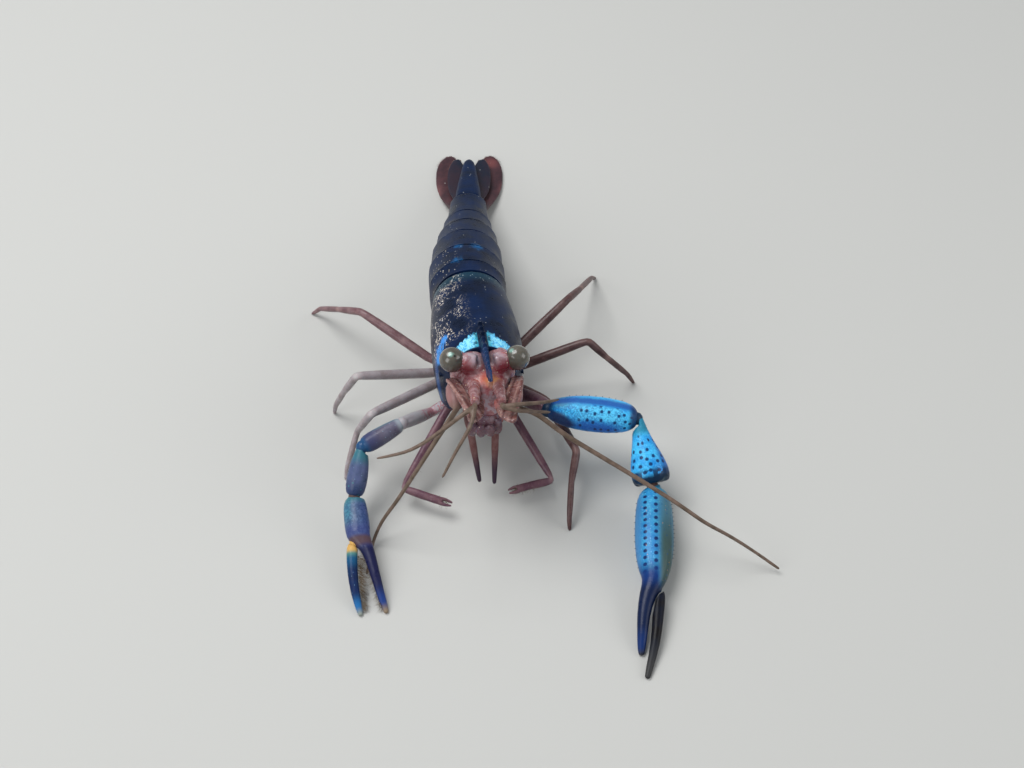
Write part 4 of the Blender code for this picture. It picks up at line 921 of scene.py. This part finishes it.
small_finger = iridescent_skin("Small claw finger", (0.01, 0.025, 0.1), (0.008, 0.014, 0.06),
                               (0.01, 0.04, 0.1), 0.12)
lay, rise = small_finger.lay, small_finger.rise
along = small_finger.limb(S_HAND_END, S_TIP)["Along"]
lay((0.012, 0.09, 0.2), rise(along, 4.2, 2.6), 0.9)
lay((0.09, 0.24, 0.2), rise(along, 2.6, 1.8), 0.85)
lay((0.62, 0.36, 0.1), rise(along, 2.0, 1.4), 0.95)
lay((0.02, 0.16, 0.42), small_finger.near(S_TIP, 2.0, 0.9), 0.8)
lay((0.28, 0.3, 0.24), small_finger.near(S_TIP, 0.6, 0.5), 0.9)

root_skin = leg_skin("Small claw root", (0.33, 0.3, 0.33), (0.4, 0.4, 0.42), (0.42, 0.14, 0.17),
                     [(-12.0, -9.4, 6.2)])
root_skin.lay((0.36, 0.12, 0.15), root_skin.both(root_skin.squiggles(0.4, 0.08, 0.8),
                                                root_skin.near((-11.4, -9.6, 6.4), 2.0, 1.0)), 0.8)
for label, skin, slot in (("base", root_skin, "leg_pale"), ("arm", small_arm, "claw_violet"),
                          ("wrist", small_wrist, "claw_violet"), ("hand", small_hand, "claw_teal"),
                          ("finger", small_finger, "claw_teal")):
    part = finer_copy(f"claw_{label}_right", f"small_claw_{label}", rounds=1, cell=0.07, smooth=4, swell=0.04)
    dress(part, skin.material, slot, f"claw_{label}_right")
for label, centre, radii, soft in (("elbow", S_ELBOW, (0.8, 0.8, 0.8), root_skin),
                                   ("wrist", S_WRIST, (0.8, 0.8, 0.8), small_arm),
                                   ("knuckle", (-22.4, -19.4, 3.5), (0.7, 0.8, 0.7), joint_skin),
                                   ("finger", (-22.8, -25.3, 2.4), (0.55, 0.9, 0.5), small_finger)):
    dress(ball(f"small_claw_joint_{label}", centre, radii), soft.material, "claw_violet")

hair_skin = Skin("Bristles", (0.1, 0.07, 0.045), rough=0.5)
hair_skin.lay((0.2, 0.14, 0.08), hair_skin.cloud)
GAP_HAIRS = 260
hairs = []
for start, end, toward in (((-22.6, -27.0, 2.0), (-22.3, -33.6, 0.4), 1),
                           ((-21.0, -26.8, 2.1), (-19.9, -33.6, 0.4), -1)):
    for k in range(GAP_HAIRS):
        share = (k + random.random()) / GAP_HAIRS
        root = Vector(start).lerp(Vector(end), share)
        root += Vector((random.uniform(-0.25, 0.25), 0, random.uniform(-0.3, 0.25)))
        way = (toward * random.uniform(0.4, 1), random.uniform(-0.9, 0.0), random.uniform(-0.5, 0.4))
        hairs.append((root, way, random.uniform(0.9, 1.5) * (1 - 0.35 * share), 0.02))
bristles("small_claw_bristles", hairs, hair_skin, "leg_red")

hairs = []
for start, end, count, spread in (((-12.0, -13.0, 5.2), (-16.0, -17.7, 2.8), 90, (-0.9, 0.2)),
                                  ((-0.6, -19.4, 2.3), (-3.2, -19.9, 2.1), 120, (-1, 1)),
                                  ((-13.6, -19.7, 2.3), (-11.2, -20.8, 2.1), 100, (-1, 1))):
    for k in range(count):
        root = Vector(start).lerp(Vector(end), (k + random.random()) / count)
        way = (random.uniform(*spread), random.uniform(*spread), random.uniform(-0.5, 0.8))
        hairs.append((root, way, random.uniform(0.6, 0.95), 0.022))
bristles("first_leg_bristles", hairs, hair_skin, "first_leg")
